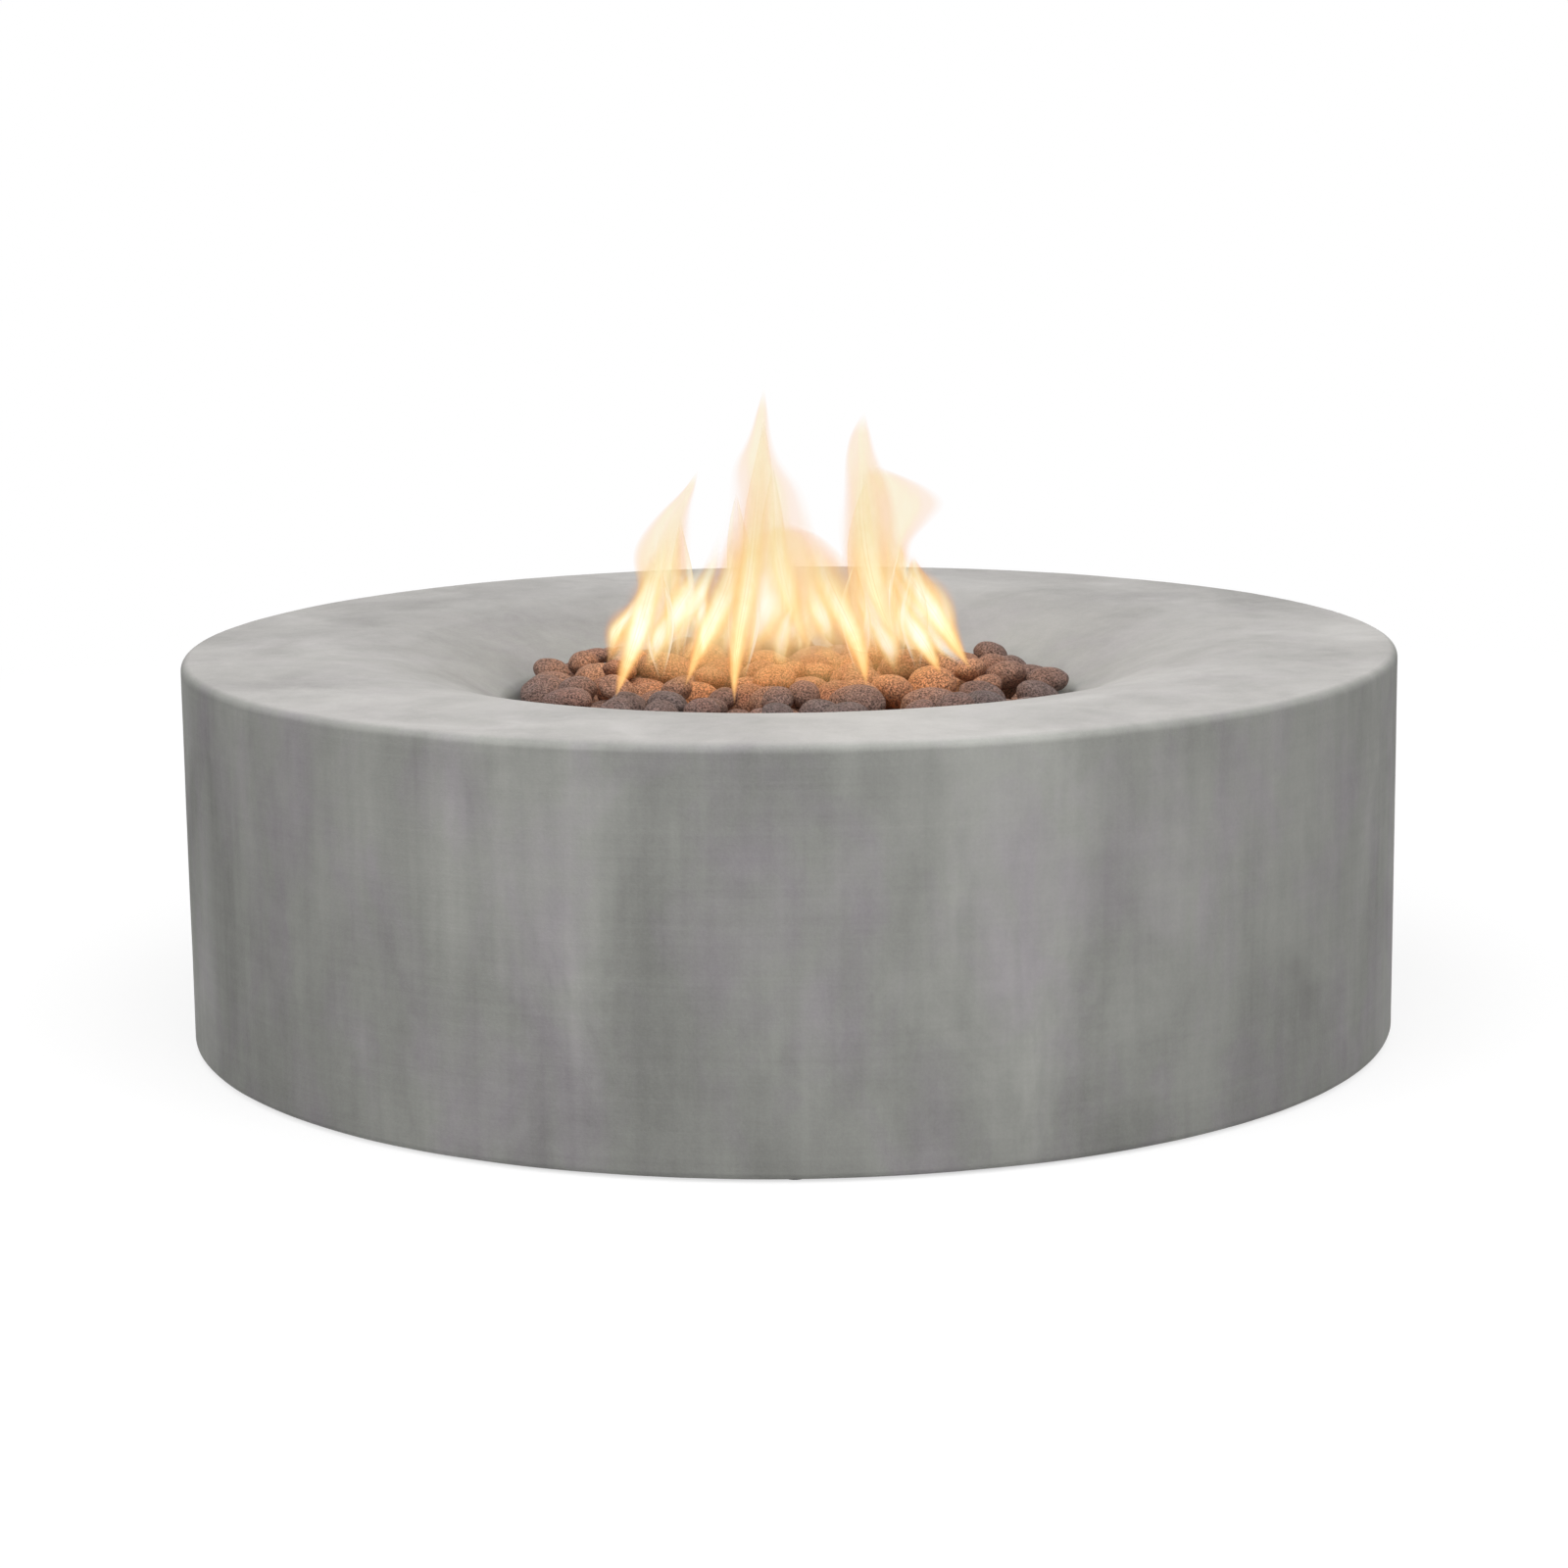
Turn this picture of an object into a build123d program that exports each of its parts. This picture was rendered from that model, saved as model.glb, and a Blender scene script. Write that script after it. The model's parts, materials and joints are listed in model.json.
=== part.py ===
from build123d import *
import math
import os
import random
import numpy as np

# Fire pit: a cast concrete ring with a gas burner under lava stones.
# Millimetres, +Z up, origin on the floor under the centre, front towards -Y, controls towards +Y.

# Fits
FIT = 0.3
RUN_FIT = 0.05
OVERRUN = 8.0
BEND_SHARE = 0.45

# Concrete shell
PIT_D = 1067.0
PIT_H = 340.0
WALL = 32.0
TOP_T = 30.0
RIM_FLAT = 120.0
RIM_EDGE_R = 8.0
FOOT_EDGE_R = 6.0
DISH_SLOPE_DEG = 30.0
DISH_LIP_R = 300.0
DISH_LIP_ROOM_SHARE = 0.98
BOWL_R = 250.0
BOWL_EDGE_R = 16.0
LEDGE_DEPTH = 24.0
LEDGE_W = 20.0
LEDGE_T = 26.0
LEDGE_EDGE_R = 3.0
COLLAR_W = 30.0
INSIDE_R = 30.0

# Rubber pads under the wall
PAD_D = 18.0
PAD_T = 5.0
PAD_PROUD = 2.0
PAD_COUNT = 6
PAD_START_DEG = 30.0

# Recess and thickened panel at the back
NICHE_W = 170.0
NICHE_H = 104.0
NICHE_Z = 205.0
NICHE_DEPTH = 36.0
NICHE_CORNER_R = 12.0
PANEL_W = 260.0
PANEL_T = 18.0
PANEL_TOP_MARGIN = 14.0
WINDOW_W = 120.0
WINDOW_H = 60.0

# Control plate and its fixings
PLATE_T = 2.5
PLATE_GAP = 2.0
PLATE_SCREW_INSET = 11.0
SCREW_R = 2.0
SCREW_HEAD_R = 3.8
SCREW_HEAD_H = 2.4
SCREW_SLOT_W = 1.0
SCREW_SLOT_DEPTH = 1.2
PLATE_SCREW_L = 12.0
SCREW_TIP_GAP = 2.0
INSERT_R = 3.5
INSERT_L = 14.0

# Gas valve
VALVE_X = -32.0
VALVE_W = 42.0
VALVE_H = 46.0
VALVE_L = 58.0
VALVE_EDGE_R = 3.0
VALVE_SCREW_OFFSET = 13.5
VALVE_SCREW_L = 9.0
PORT_R = 10.0
PORT_L = 10.0
PORT_BORE_R = 5.0
OUTLET_DROP = 10.0
PROBE_PORT_RISE = 14.0
PROBE_PORT_R = 5.0
PROBE_PORT_L = 7.0
BONNET_T = 10.0
CHAMBER_R = 8.0
CHAMBER_L = 34.0
PLUNGER_L = 10.0
STEM_R = 4.0
STEM_FLAT = 1.2
STEM_COLLAR_R = 6.5
STEM_COLLAR_T = 1.5
KNOB_PUSH = 4.0
VALVE_SPRING_WIRE_R = 0.6
VALVE_SPRING_TURNS = 5

# Control knob
KNOB_R = 22.0
KNOB_GAP = 1.0
KNOB_SKIRT_H = 8.0
KNOB_H = 23.0
KNOB_RECESS_R = 18.5
KNOB_RECESS_H = 6.5
KNOB_HUB_R = 8.5
KNOB_BAR_W = 11.0
KNOB_BAR_R = 20.0
KNOB_EDGE_R = 1.2
KNOB_CROWN_T = 4.0
KNOB_MARK_W = 1.6
KNOB_MARK_L = 9.0
KNOB_MARK_DEPTH = 0.8

# Push igniter
IGNITER_X = 38.0
IGNITER_R = 11.0
IGNITER_FLANGE_R = 15.0
IGNITER_FLANGE_T = 3.0
IGNITER_L = 76.0
IGNITER_END_T = 5.0
IGNITER_BORE_R = 8.6
TERMINAL_R = 2.2
TERMINAL_L = 8.0
BUTTON_PROUD = 3.0
BUTTON_L = 21.0
BUTTON_EDGE_R = 2.0
BUTTON_PRESS = 4.0
IGNITER_NUT_AF = 28.0
IGNITER_NUT_T = 6.0
BATTERY_R = 7.1
BATTERY_L = 50.5
BATTERY_TIP_R = 2.7
BATTERY_TIP_L = 1.2
IGNITER_SPRING_WIRE_R = 0.5
IGNITER_SPRING_TURNS = 3

# Gas inlet
INLET_Z = 85.0
INLET_CUP_R = 28.0
INLET_R = 10.5
INLET_FLANGE_AF = 30.0
INLET_FLANGE_T = 8.0
INLET_PIN_R = 7.94
INLET_PIN_L = 20.0
INLET_PIN_CHAMFER = 2.0
INLET_NUT_T = 8.0
ELBOW_RISE = 28.0
PIPE_R = 6.35
PIPE_BORE_R = 5.35
PIPE_NUT_AF = 20.0
PIPE_NUT_T = 14.0

# Burner pan and gasket
GASKET_T = 3.0
GASKET_MARGIN = 2.0
PAN_T = 1.5
PAN_GAP = 2.0
PAN_RIM_GAP = 3.0
PAN_DEPTH = 45.0
PAN_CORNER_R = 8.0
WEEP_R = 5.0
WEEP_COUNT = 6
WEEP_INSET = 26.5

# Ring burner
RING_R = 152.4
RING_TUBE_R = 9.5
RING_BORE_R = 8.2
RING_RISE = 24.0
RING_SIDES = 16
HUB_R = 17.0
HUB_BORE_DEPTH = 14.0
HUB_CAP_T = 4.0
SPOKE_R = 8.0
SPOKE_BORE_R = 6.6
FLAME_PORT_R = 1.5
FLAME_PORT_COUNT = 36
NIPPLE_R = 10.65
NIPPLE_BORE_R = 7.9
WASHER_R = 20.0
WASHER_T = 2.0
LOCKNUT_AF = 36.0
LOCKNUT_T = 10.0
NIPPLE_TAIL = 19.0

# Air mixer, orifice and elbow under the pan
MIXER_R = 15.0
MIXER_L = 60.0
MIXER_SOCKET = 14.0
MIXER_BORE_R = 7.0
AIR_HOLE_R = 3.5
AIR_HOLE_COUNT = 4
ORIFICE_R = 6.0
ORIFICE_L = 10.0
ORIFICE_HOLE_R = 1.2
BURNER_ELBOW_R = 10.5
BURNER_ELBOW_DROP = 44.0
BURNER_ELBOW_REACH = 36.0

# Hose, leads and their nuts
HOSE_R = 8.0
HOSE_BORE_R = 4.5
HOSE_NUT_AF = 26.0
HOSE_NUT_L = 20.0
HOSE_NUT_COVER = 9.0
HOSE_LEVEL_RUN = 110.0
HOSE_DROP_RUN = 90.0
LEAD_R = 1.6
LEAD_SAG = 12.0
LEAD_LEVEL_RUN = 70.0
LEAD_END_RUN = 60.0
PROBE_NUT_AF = 13.0
PROBE_NUT_T = 10.0

# Spark, probe, bracket and hood
PILOT_GAP = 6.0
HOOD_W = 60.0
HOOD_D = 34.0
HOOD_H = 38.0
HOOD_T = 1.2
HOOD_FOOT = 12.0
HOOD_SLOT_W = 4.0
HOOD_SLOT_COUNT = 5
BRACKET_T = 1.5
PILOT_X = 14.0
PILOT_RISE = 30.0
PILOT_DROP = 15.0
PILOT_TAIL = 10.0
PILOT_BEND_R = 4.0
PILOT_TIP_L = 12.0
INSULATOR_R = 4.0
INSULATOR_COLLAR_R = 6.0
INSULATOR_COLLAR_T = 4.0
INSULATOR_RISE = 22.0
SPARK_R = 1.2
PROBE_R = 3.0
PROBE_COLLAR_R = 5.0
PILOT_SCREW_L = 9.0

# Side vents
VENT_ANGLES_DEG = (40.0, 140.0)
VENT_W = 116.0
VENT_H = 66.0
VENT_Z = 170.0
VENT_DEPTH = 6.0
VENT_T = 2.0
VENT_GAP = 1.0
VENT_FRAME = 10.0
VENT_SLOT_W = 4.0
VENT_SLOT_COUNT = 10
VENT_SCREW_INSET = 5.5
VENT_SCREW_L = 16.0

# Lava fill
GRAVEL_RISE = 31.5
GRAVEL_CHAMFER = 10.0
STONE_LONG = 58.0
STONE_SHORT = 32.0
STONE_FLATNESS_SHARES = (0.78, 0.97)
STONE_THICKNESS_SHARES = (0.62, 0.88)
STONE_TILT_DEG = 24.0
STONE_GAP = 0.5
STONE_CROWN = 8.0
STONE_TOP_DROP = 12.0
STONE_CELL = 1.5
STONE_TRIES = 60
STONE_MISSES = 14
STONE_LIMIT_SHARE = 1.1
STONE_SEED = 11

# Flames
FLAME_H = 304.0
FLAME_W = 112.0
FLAME_DEPTH_SHARE = 0.3
FLAME_SECTION_SHARES = (
    (0.0, 0.2),
    (0.15, 0.6),
    (0.36, 0.95),
    (0.55, 1.0),
    (0.74, 0.66),
    (0.9, 0.28),
)
# One row a tongue: foot across and foot deep as shares of the ring, height and width as shares of
# the tallest, lean across and lean deep as shares of the ring, sway as a share of the width, turn.
FLAME_TONGUE_SHARES = (
    (-0.10, -0.16, 1.0, 1.0, -0.03, 0.08, -0.06, 4.0),
    (0.49, 0.30, 0.925, 0.75, -0.04, -0.02, 0.08, -8.0),
    (-0.77, 0.20, 0.76, 0.66, 0.25, -0.04, -0.16, 8.0),
    (0.69, 0.52, 0.668, 0.54, 0.23, -0.02, 0.10, -10.0),
    (0.88, -0.14, 0.50, 0.50, -0.05, 0.04, 0.12, 10.0),
    (-0.92, -0.18, 0.46, 0.46, 0.03, 0.04, -0.12, -12.0),
    (-0.52, -0.74, 0.38, 0.48, 0.06, 0.10, 0.12, 24.0),
    (0.10, -0.88, 0.36, 0.50, -0.04, 0.12, -0.10, -6.0),
    (0.62, -0.68, 0.40, 0.48, -0.06, 0.10, 0.10, -28.0),
    (-0.60, 0.78, 0.48, 0.52, 0.08, -0.10, 0.10, 56.0),
    (0.06, 0.98, 0.44, 0.50, -0.04, -0.10, -0.12, 80.0),
    (0.62, 0.88, 0.42, 0.48, -0.08, -0.10, 0.10, -60.0),
    (0.02, 0.52, 0.70, 0.62, -0.04, -0.06, 0.12, 78.0),
    (-0.36, 0.50, 0.60, 0.58, 0.06, -0.06, -0.12, 100.0),
)

# Worked-out places
pit_r = PIT_D / 2
slope = math.radians(DISH_SLOPE_DEG)
wall_r = pit_r - WALL
bowl_edge_run = BOWL_EDGE_R * math.tan((math.pi / 2 - slope) / 2)
dish_room = pit_r - RIM_FLAT - BOWL_R - bowl_edge_run * math.cos(slope)
lip_run_limit = DISH_LIP_ROOM_SHARE * dish_room / (1 + math.cos(slope))
dish_lip_r = min(DISH_LIP_R, lip_run_limit / math.tan(slope / 2))
lip_r = pit_r - RIM_FLAT - dish_lip_r * math.tan(slope / 2)
throat_z = PIT_H - (lip_r - BOWL_R) * math.tan(slope)
ledge_z = throat_z - LEDGE_DEPTH
hole_r = BOWL_R - LEDGE_W
collar_r = BOWL_R + COLLAR_W
niche_y = pit_r - NICHE_DEPTH
panel_y = niche_y - PANEL_T
plate_y = niche_y + PLATE_T
pad_ring_r = wall_r + (WALL - FOOT_EDGE_R) / 2

flange_z = ledge_z + GASKET_T
flange_top = flange_z + PAN_T
pan_r = hole_r - PAN_GAP
pan_inner_r = pan_r - PAN_T
pan_rim_r = BOWL_R - PAN_RIM_GAP
weep_ring_r = pan_inner_r - WEEP_INSET
pan_under = flange_z - PAN_DEPTH
pan_floor = pan_under + PAN_T
gravel_top = pan_floor + GRAVEL_RISE
ring_z = pan_floor + RING_RISE

locknut_z = pan_under - WASHER_T - LOCKNUT_T
nipple_z = locknut_z - NIPPLE_TAIL
mixer_top = nipple_z + MIXER_SOCKET
mixer_z = mixer_top - MIXER_L
elbow_top = mixer_z + MIXER_SOCKET
elbow_z = elbow_top - BURNER_ELBOW_DROP

valve_back = niche_y - VALVE_L
valve_bottom = NICHE_Z - VALVE_H / 2
outlet_z = NICHE_Z - OUTLET_DROP
outlet_y = valve_back - PORT_L
probe_port_z = NICHE_Z + PROBE_PORT_RISE
probe_port_y = valve_back - PROBE_PORT_L
chamber_front = niche_y - BONNET_T
chamber_back = chamber_front - CHAMBER_L
plunger_front = chamber_front - STEM_COLLAR_T - FIT
plunger_back = plunger_front - PLUNGER_L
knob_back = plate_y + KNOB_PUSH + KNOB_GAP
knob_front = knob_back + KNOB_H
stem_tip = knob_front - KNOB_CROWN_T - FIT

igniter_front = plate_y + IGNITER_FLANGE_T
igniter_back = igniter_front - IGNITER_L
bore_back = igniter_back + IGNITER_END_T
battery_tip_y = bore_back + BATTERY_L + BATTERY_TIP_L
button_front = igniter_front + BUTTON_PRESS + BUTTON_PROUD
button_back = button_front - BUTTON_L
terminal_y = igniter_back - TERMINAL_L

inlet_elbow_y = (valve_back + chamber_back) / 2
inlet_stub_top = INLET_Z + ELBOW_RISE
valve_port_z = valve_bottom - PORT_L

pilot_y = RING_R - RING_TUBE_R - PILOT_GAP - HOOD_D / 2
bracket_top = pan_floor + BRACKET_T
hood_top = bracket_top + HOOD_H
pilot_low = pan_under - PILOT_DROP
pilot_tail = pilot_low - PILOT_TAIL
pilot_tip = bracket_top + PILOT_RISE

stone_limit = STONE_LIMIT_SHARE * (2 * BOWL_R / STONE_SHORT) ** 2

ON_BASE = (Align.CENTER, Align.CENTER, Align.MIN)


def rod_z(x, y, low, high, radius):
    """Upright cylinder between two heights."""
    return Pos(x, y, low) * Cylinder(radius, high - low, align=ON_BASE)


def rod_y(x, z, back, front, radius):
    """Cylinder along Y between two depths."""
    place = Plane(origin=(x, back, z), x_dir=(1, 0, 0), z_dir=(0, 1, 0))
    return place * Cylinder(radius, front - back, align=ON_BASE)


def block(x0, x1, y0, y1, z0, z1):
    """Box between two corners."""
    middle = Pos((x0 + x1) / 2, (y0 + y1) / 2, (z0 + z1) / 2)
    return middle * Box(x1 - x0, y1 - y0, z1 - z0)


def round_panel(x, y, z, width, depth, height, corner_r):
    """Upright plate facing +Y with rounded corners, its back face at y."""
    place = Plane(origin=(x, y, z), x_dir=(1, 0, 0), z_dir=(0, -1, 0))
    return place * extrude(RectangleRounded(width, height, corner_r), -depth)


def hex_y(x, z, back, front, across):
    """Hexagon prism along Y."""
    place = Plane(origin=(x, back, z), x_dir=(1, 0, 0), z_dir=(0, 1, 0))
    return place * extrude(RegularPolygon(across / 2, 6, major_radius=False), front - back)


def hex_z(x, y, low, high, across):
    """Upright hexagon prism."""
    return Pos(x, y, low) * extrude(RegularPolygon(across / 2, 6, major_radius=False), high - low)


def turned(points, radii):
    """Solid of revolution about Z from a closed outline of radius and height."""
    outline = Plane.XZ * FilletPolyline(*points, radius=radii, close=True)
    return revolve(make_face(outline.edges()), Axis.Z)


def slotted_screw(length):
    """Screw along Z with the underside of its head at zero and its shank downwards."""
    shank = Cylinder(SCREW_R, length, align=(Align.CENTER, Align.CENTER, Align.MAX))
    head = Cylinder(SCREW_HEAD_R, SCREW_HEAD_H, align=ON_BASE)
    head = fillet(head.edges().group_by(Axis.Z)[-1], SCREW_HEAD_H / 3)
    slot = Pos(0, 0, SCREW_HEAD_H - SCREW_SLOT_DEPTH) * Box(
        2 * SCREW_HEAD_R + OVERRUN, SCREW_SLOT_W, OVERRUN, align=ON_BASE
    )
    return head + shank - slot


def routed(points, radius, bore_r=0):
    """Round cord through points, bent as gently as its straight runs allow."""
    corners = [Vector(*point) for point in points]
    bends = []
    for before, corner, after in zip(corners, corners[1:], corners[2:]):
        run_in = corner - before
        run_out = after - corner
        turn = math.radians(run_in.get_angle(run_out))
        bends.append(BEND_SHARE * min(run_in.length, run_out.length) / math.tan(turn / 2))
    path = FilletPolyline(*points, radius=bends)
    start = Plane(origin=corners[0], z_dir=corners[1] - corners[0])
    section = start * Circle(radius)
    if bore_r:
        section = section - start * Circle(bore_r)
    return sweep(section, path=path)


def coil(radius, wire_r, height, turns):
    """Compression spring along Z, its wire ends just inside the given height."""
    rise = height - 2 * wire_r
    path = Pos(0, 0, wire_r) * Helix(rise / turns, rise, radius - wire_r)
    start = Plane(origin=path @ 0, z_dir=path % 0)
    return sweep(start * Circle(wire_r), path=path)


def dish_height(distance):
    """Height of the underside slope line of the dish at a distance from the axis."""
    return PIT_H - (lip_r - distance) * math.tan(slope) - TOP_T / math.cos(slope)


def plate_screw_places():
    """Corners of the control plate where it is screwed down."""
    half_w = NICHE_W / 2 - PLATE_GAP - PLATE_SCREW_INSET
    half_h = NICHE_H / 2 - PLATE_GAP - PLATE_SCREW_INSET
    return [(sx * half_w, NICHE_Z + sz * half_h) for sx in (-1, 1) for sz in (-1, 1)]


def vent_screw_places():
    """Angle and height of each vent screw."""
    half_w = VENT_W / 2 - VENT_GAP - VENT_SCREW_INSET
    half_h = VENT_H / 2 - VENT_GAP - VENT_SCREW_INSET
    step = math.degrees(math.asin(half_w / pit_r))
    return [
        (angle + side * step, VENT_Z + level * half_h)
        for angle in VENT_ANGLES_DEG
        for side in (-1, 1)
        for level in (-1, 1)
    ]


def radial_plane(angle_deg, distance, z):
    """Plane that faces outwards at an angle round the pit."""
    angle = math.radians(angle_deg)
    outward = (math.cos(angle), math.sin(angle), 0)
    across = (-math.sin(angle), math.cos(angle), 0)
    return Plane(
        origin=(distance * outward[0], distance * outward[1], z), x_dir=across, z_dir=outward
    )


def vent_band(angle_deg, inner, outer, width, height):
    """Curved plate that follows the wall."""
    ring = rod_z(0, 0, VENT_Z - height / 2, VENT_Z + height / 2, outer)
    ring -= rod_z(0, 0, VENT_Z - height, VENT_Z + height, inner)
    window = radial_plane(angle_deg, wall_r, VENT_Z) * Box(width, height, 2 * WALL + OVERRUN)
    return ring & window


def make_shell():
    """Concrete casting: wall, rim, dish, ledge, thickened back panel and every pocket."""
    under_r = lip_r + TOP_T * (1 / math.cos(slope) - 1) / math.tan(slope)
    ledge_under = ledge_z - LEDGE_T
    points = [
        (wall_r, PAD_PROUD),
        (pit_r, PAD_PROUD),
        (pit_r, PIT_H),
        (lip_r, PIT_H),
        (BOWL_R, throat_z),
        (BOWL_R, ledge_z),
        (hole_r, ledge_z),
        (hole_r, ledge_under),
        (collar_r, ledge_under),
        (collar_r, dish_height(collar_r)),
        (under_r, PIT_H - TOP_T),
        (wall_r, PIT_H - TOP_T),
    ]
    radii = [0, FOOT_EDGE_R, RIM_EDGE_R, dish_lip_r, BOWL_EDGE_R, 0]
    radii += [LEDGE_EDGE_R, LEDGE_EDGE_R, 0, 0, 0, INSIDE_R]
    shell = turned(points, radii)

    panel_top = NICHE_Z + NICHE_H / 2 + PANEL_TOP_MARGIN
    panel = block(-PANEL_W / 2, PANEL_W / 2, panel_y, pit_r, PAD_PROUD, panel_top)
    shell += panel & rod_z(0, 0, PAD_PROUD, panel_top, pit_r - WALL / 2)

    cuts = [
        round_panel(0, niche_y, NICHE_Z, NICHE_W, NICHE_DEPTH + OVERRUN, NICHE_H, NICHE_CORNER_R),
        round_panel(
            0, panel_y - OVERRUN, NICHE_Z, WINDOW_W, PANEL_T + 2 * OVERRUN, WINDOW_H, NICHE_CORNER_R
        ),
        rod_y(VALVE_X, INLET_Z, niche_y, pit_r + OVERRUN, INLET_CUP_R),
        rod_y(VALVE_X, INLET_Z, panel_y - OVERRUN, niche_y + OVERRUN, INLET_R + FIT),
    ]
    cuts += [
        rod_y(x, z, niche_y - INSERT_L, niche_y + OVERRUN, INSERT_R + RUN_FIT)
        for x, z in plate_screw_places()
    ]
    cuts += [
        rod_z(x, y, PAD_PROUD - OVERRUN, PAD_T, PAD_D / 2 + FIT) for x, y in pad_places()
    ]
    for angle in VENT_ANGLES_DEG:
        cuts.append(vent_band(angle, pit_r - VENT_DEPTH, pit_r + OVERRUN, VENT_W, VENT_H))
        opening_w = VENT_W - 2 * (VENT_GAP + VENT_FRAME)
        opening_h = VENT_H - 2 * (VENT_GAP + VENT_FRAME)
        through = radial_plane(angle, wall_r, VENT_Z)
        cuts.append(through * Box(opening_w, opening_h, 2 * WALL + OVERRUN))
    for angle, z in vent_screw_places():
        hole = radial_plane(angle, pit_r, z) * Cylinder(
            SCREW_R + RUN_FIT,
            VENT_DEPTH + VENT_SCREW_L,
            align=(Align.CENTER, Align.CENTER, Align.MAX),
        )
        cuts.append(hole)
    return shell - cuts


def pad_places():
    """Centres of the pads under the wall."""
    places = []
    for index in range(PAD_COUNT):
        angle = math.radians(PAD_START_DEG + index * 360 / PAD_COUNT)
        places.append((pad_ring_r * math.cos(angle), pad_ring_r * math.sin(angle)))
    return places


def make_pads():
    """Rubber pads let into the base, slightly proud of it."""
    pads = []
    for x, y in pad_places():
        pads.append(rod_z(x, y, 0, PAD_T, PAD_D / 2))
    return pads


def make_vent(angle):
    """Curved slotted cover over one vent."""
    inner = pit_r - VENT_DEPTH + FIT
    outer = inner + VENT_T
    width = VENT_W - 2 * VENT_GAP
    height = VENT_H - 2 * VENT_GAP
    cover = vent_band(angle, inner, outer, width, height)
    slot_h = height - 2 * VENT_FRAME
    pitch = (width - 2 * VENT_FRAME) / VENT_SLOT_COUNT
    cuts = []
    for index in range(VENT_SLOT_COUNT):
        offset = (index + 0.5 - VENT_SLOT_COUNT / 2) * pitch
        place = radial_plane(angle, pit_r, VENT_Z) * Pos(offset, 0, 0)
        cuts.append(place * Box(VENT_SLOT_W, slot_h, 2 * WALL))
    for screw_angle, z in vent_screw_places():
        hole = radial_plane(screw_angle, pit_r, z) * Cylinder(SCREW_R + FIT, 2 * WALL)
        cuts.append(hole)
    return cover - cuts


def make_vent_screws():
    """Screws that hold both vent covers to the wall."""
    seat_r = pit_r - VENT_DEPTH + FIT + VENT_T + RUN_FIT
    screw = slotted_screw(VENT_SCREW_L)
    return [radial_plane(angle, seat_r, z) * screw for angle, z in vent_screw_places()]


def make_control_plate():
    """Flat plate at the back of the recess, drilled for the valve and the igniter."""
    width = NICHE_W - 2 * PLATE_GAP
    height = NICHE_H - 2 * PLATE_GAP
    plate = round_panel(0, niche_y, NICHE_Z, width, PLATE_T, height, NICHE_CORNER_R - PLATE_GAP)
    front = plate_y + OVERRUN
    back = niche_y - OVERRUN
    cuts = [rod_y(x, z, back, front, SCREW_R + FIT) for x, z in plate_screw_places()]
    cuts += [rod_y(VALVE_X, z, back, front, SCREW_R + FIT) for z in valve_screw_heights()]
    cuts.append(rod_y(VALVE_X, NICHE_Z, back, front, STEM_R + PLATE_GAP))
    cuts.append(rod_y(IGNITER_X, NICHE_Z, back, front, IGNITER_R + FIT))
    return plate - cuts


def valve_screw_heights():
    """Heights of the two screws that hold the valve."""
    return (NICHE_Z - VALVE_SCREW_OFFSET, NICHE_Z + VALVE_SCREW_OFFSET)


def facing_back(x, y, z):
    """Plane whose normal points out of the recess."""
    return Plane(origin=(x, y, z), x_dir=(1, 0, 0), z_dir=(0, 1, 0))


def make_plate_screws():
    """Screws at the corners of the control plate."""
    return [
        facing_back(x, plate_y, z) * slotted_screw(PLATE_SCREW_L) for x, z in plate_screw_places()
    ]


def make_plate_inserts():
    """Threaded sleeves cast into the panel for the plate screws."""
    inserts = []
    for x, z in plate_screw_places():
        sleeve = rod_y(x, z, niche_y - INSERT_L, niche_y, INSERT_R)
        inserts.append(
            sleeve - rod_y(x, z, niche_y - INSERT_L - OVERRUN, niche_y + OVERRUN, SCREW_R + RUN_FIT)
        )
    return inserts


def make_valve():
    """Valve body with its ports and the chamber of its plunger."""
    body = block(
        VALVE_X - VALVE_W / 2,
        VALVE_X + VALVE_W / 2,
        valve_back,
        niche_y,
        valve_bottom,
        valve_bottom + VALVE_H,
    )
    body = fillet(body.edges().filter_by(Axis.Y), VALVE_EDGE_R)
    body += rod_z(VALVE_X, inlet_elbow_y, valve_port_z, valve_bottom, PORT_R)
    body += rod_y(VALVE_X, outlet_z, outlet_y, valve_back, PORT_R)
    body += rod_y(VALVE_X, probe_port_z, probe_port_y, valve_back, PROBE_PORT_R)
    cuts = [
        rod_y(VALVE_X, NICHE_Z, chamber_front - OVERRUN / 2, niche_y + OVERRUN, STEM_R + RUN_FIT),
        rod_y(VALVE_X, NICHE_Z, chamber_back, chamber_front, CHAMBER_R),
        rod_z(VALVE_X, inlet_elbow_y, valve_port_z - OVERRUN, outlet_z, PORT_BORE_R),
        rod_y(VALVE_X, outlet_z, outlet_y - OVERRUN, inlet_elbow_y, PORT_BORE_R),
    ]
    cuts += [
        rod_y(VALVE_X, z, niche_y - VALVE_SCREW_L, niche_y + OVERRUN, SCREW_R + RUN_FIT)
        for z in valve_screw_heights()
    ]
    return body - cuts


def make_valve_screws():
    """Screws through the plate into the valve."""
    screw = slotted_screw(PLATE_T + VALVE_SCREW_L - SCREW_TIP_GAP)
    return [facing_back(VALVE_X, plate_y, z) * screw for z in valve_screw_heights()]


def make_plunger():
    """Plunger that the pushed knob drives into the valve."""
    return rod_y(VALVE_X, NICHE_Z, plunger_back, plunger_front, CHAMBER_R - RUN_FIT)


def make_plunger_spring():
    """Spring that sends the plunger and the knob back."""
    free = plunger_back - chamber_back - FIT
    return facing_back(VALVE_X, chamber_back + FIT / 2, NICHE_Z) * coil(
        CHAMBER_R - 2 * FIT, VALVE_SPRING_WIRE_R, free, VALVE_SPRING_TURNS
    )


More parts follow.
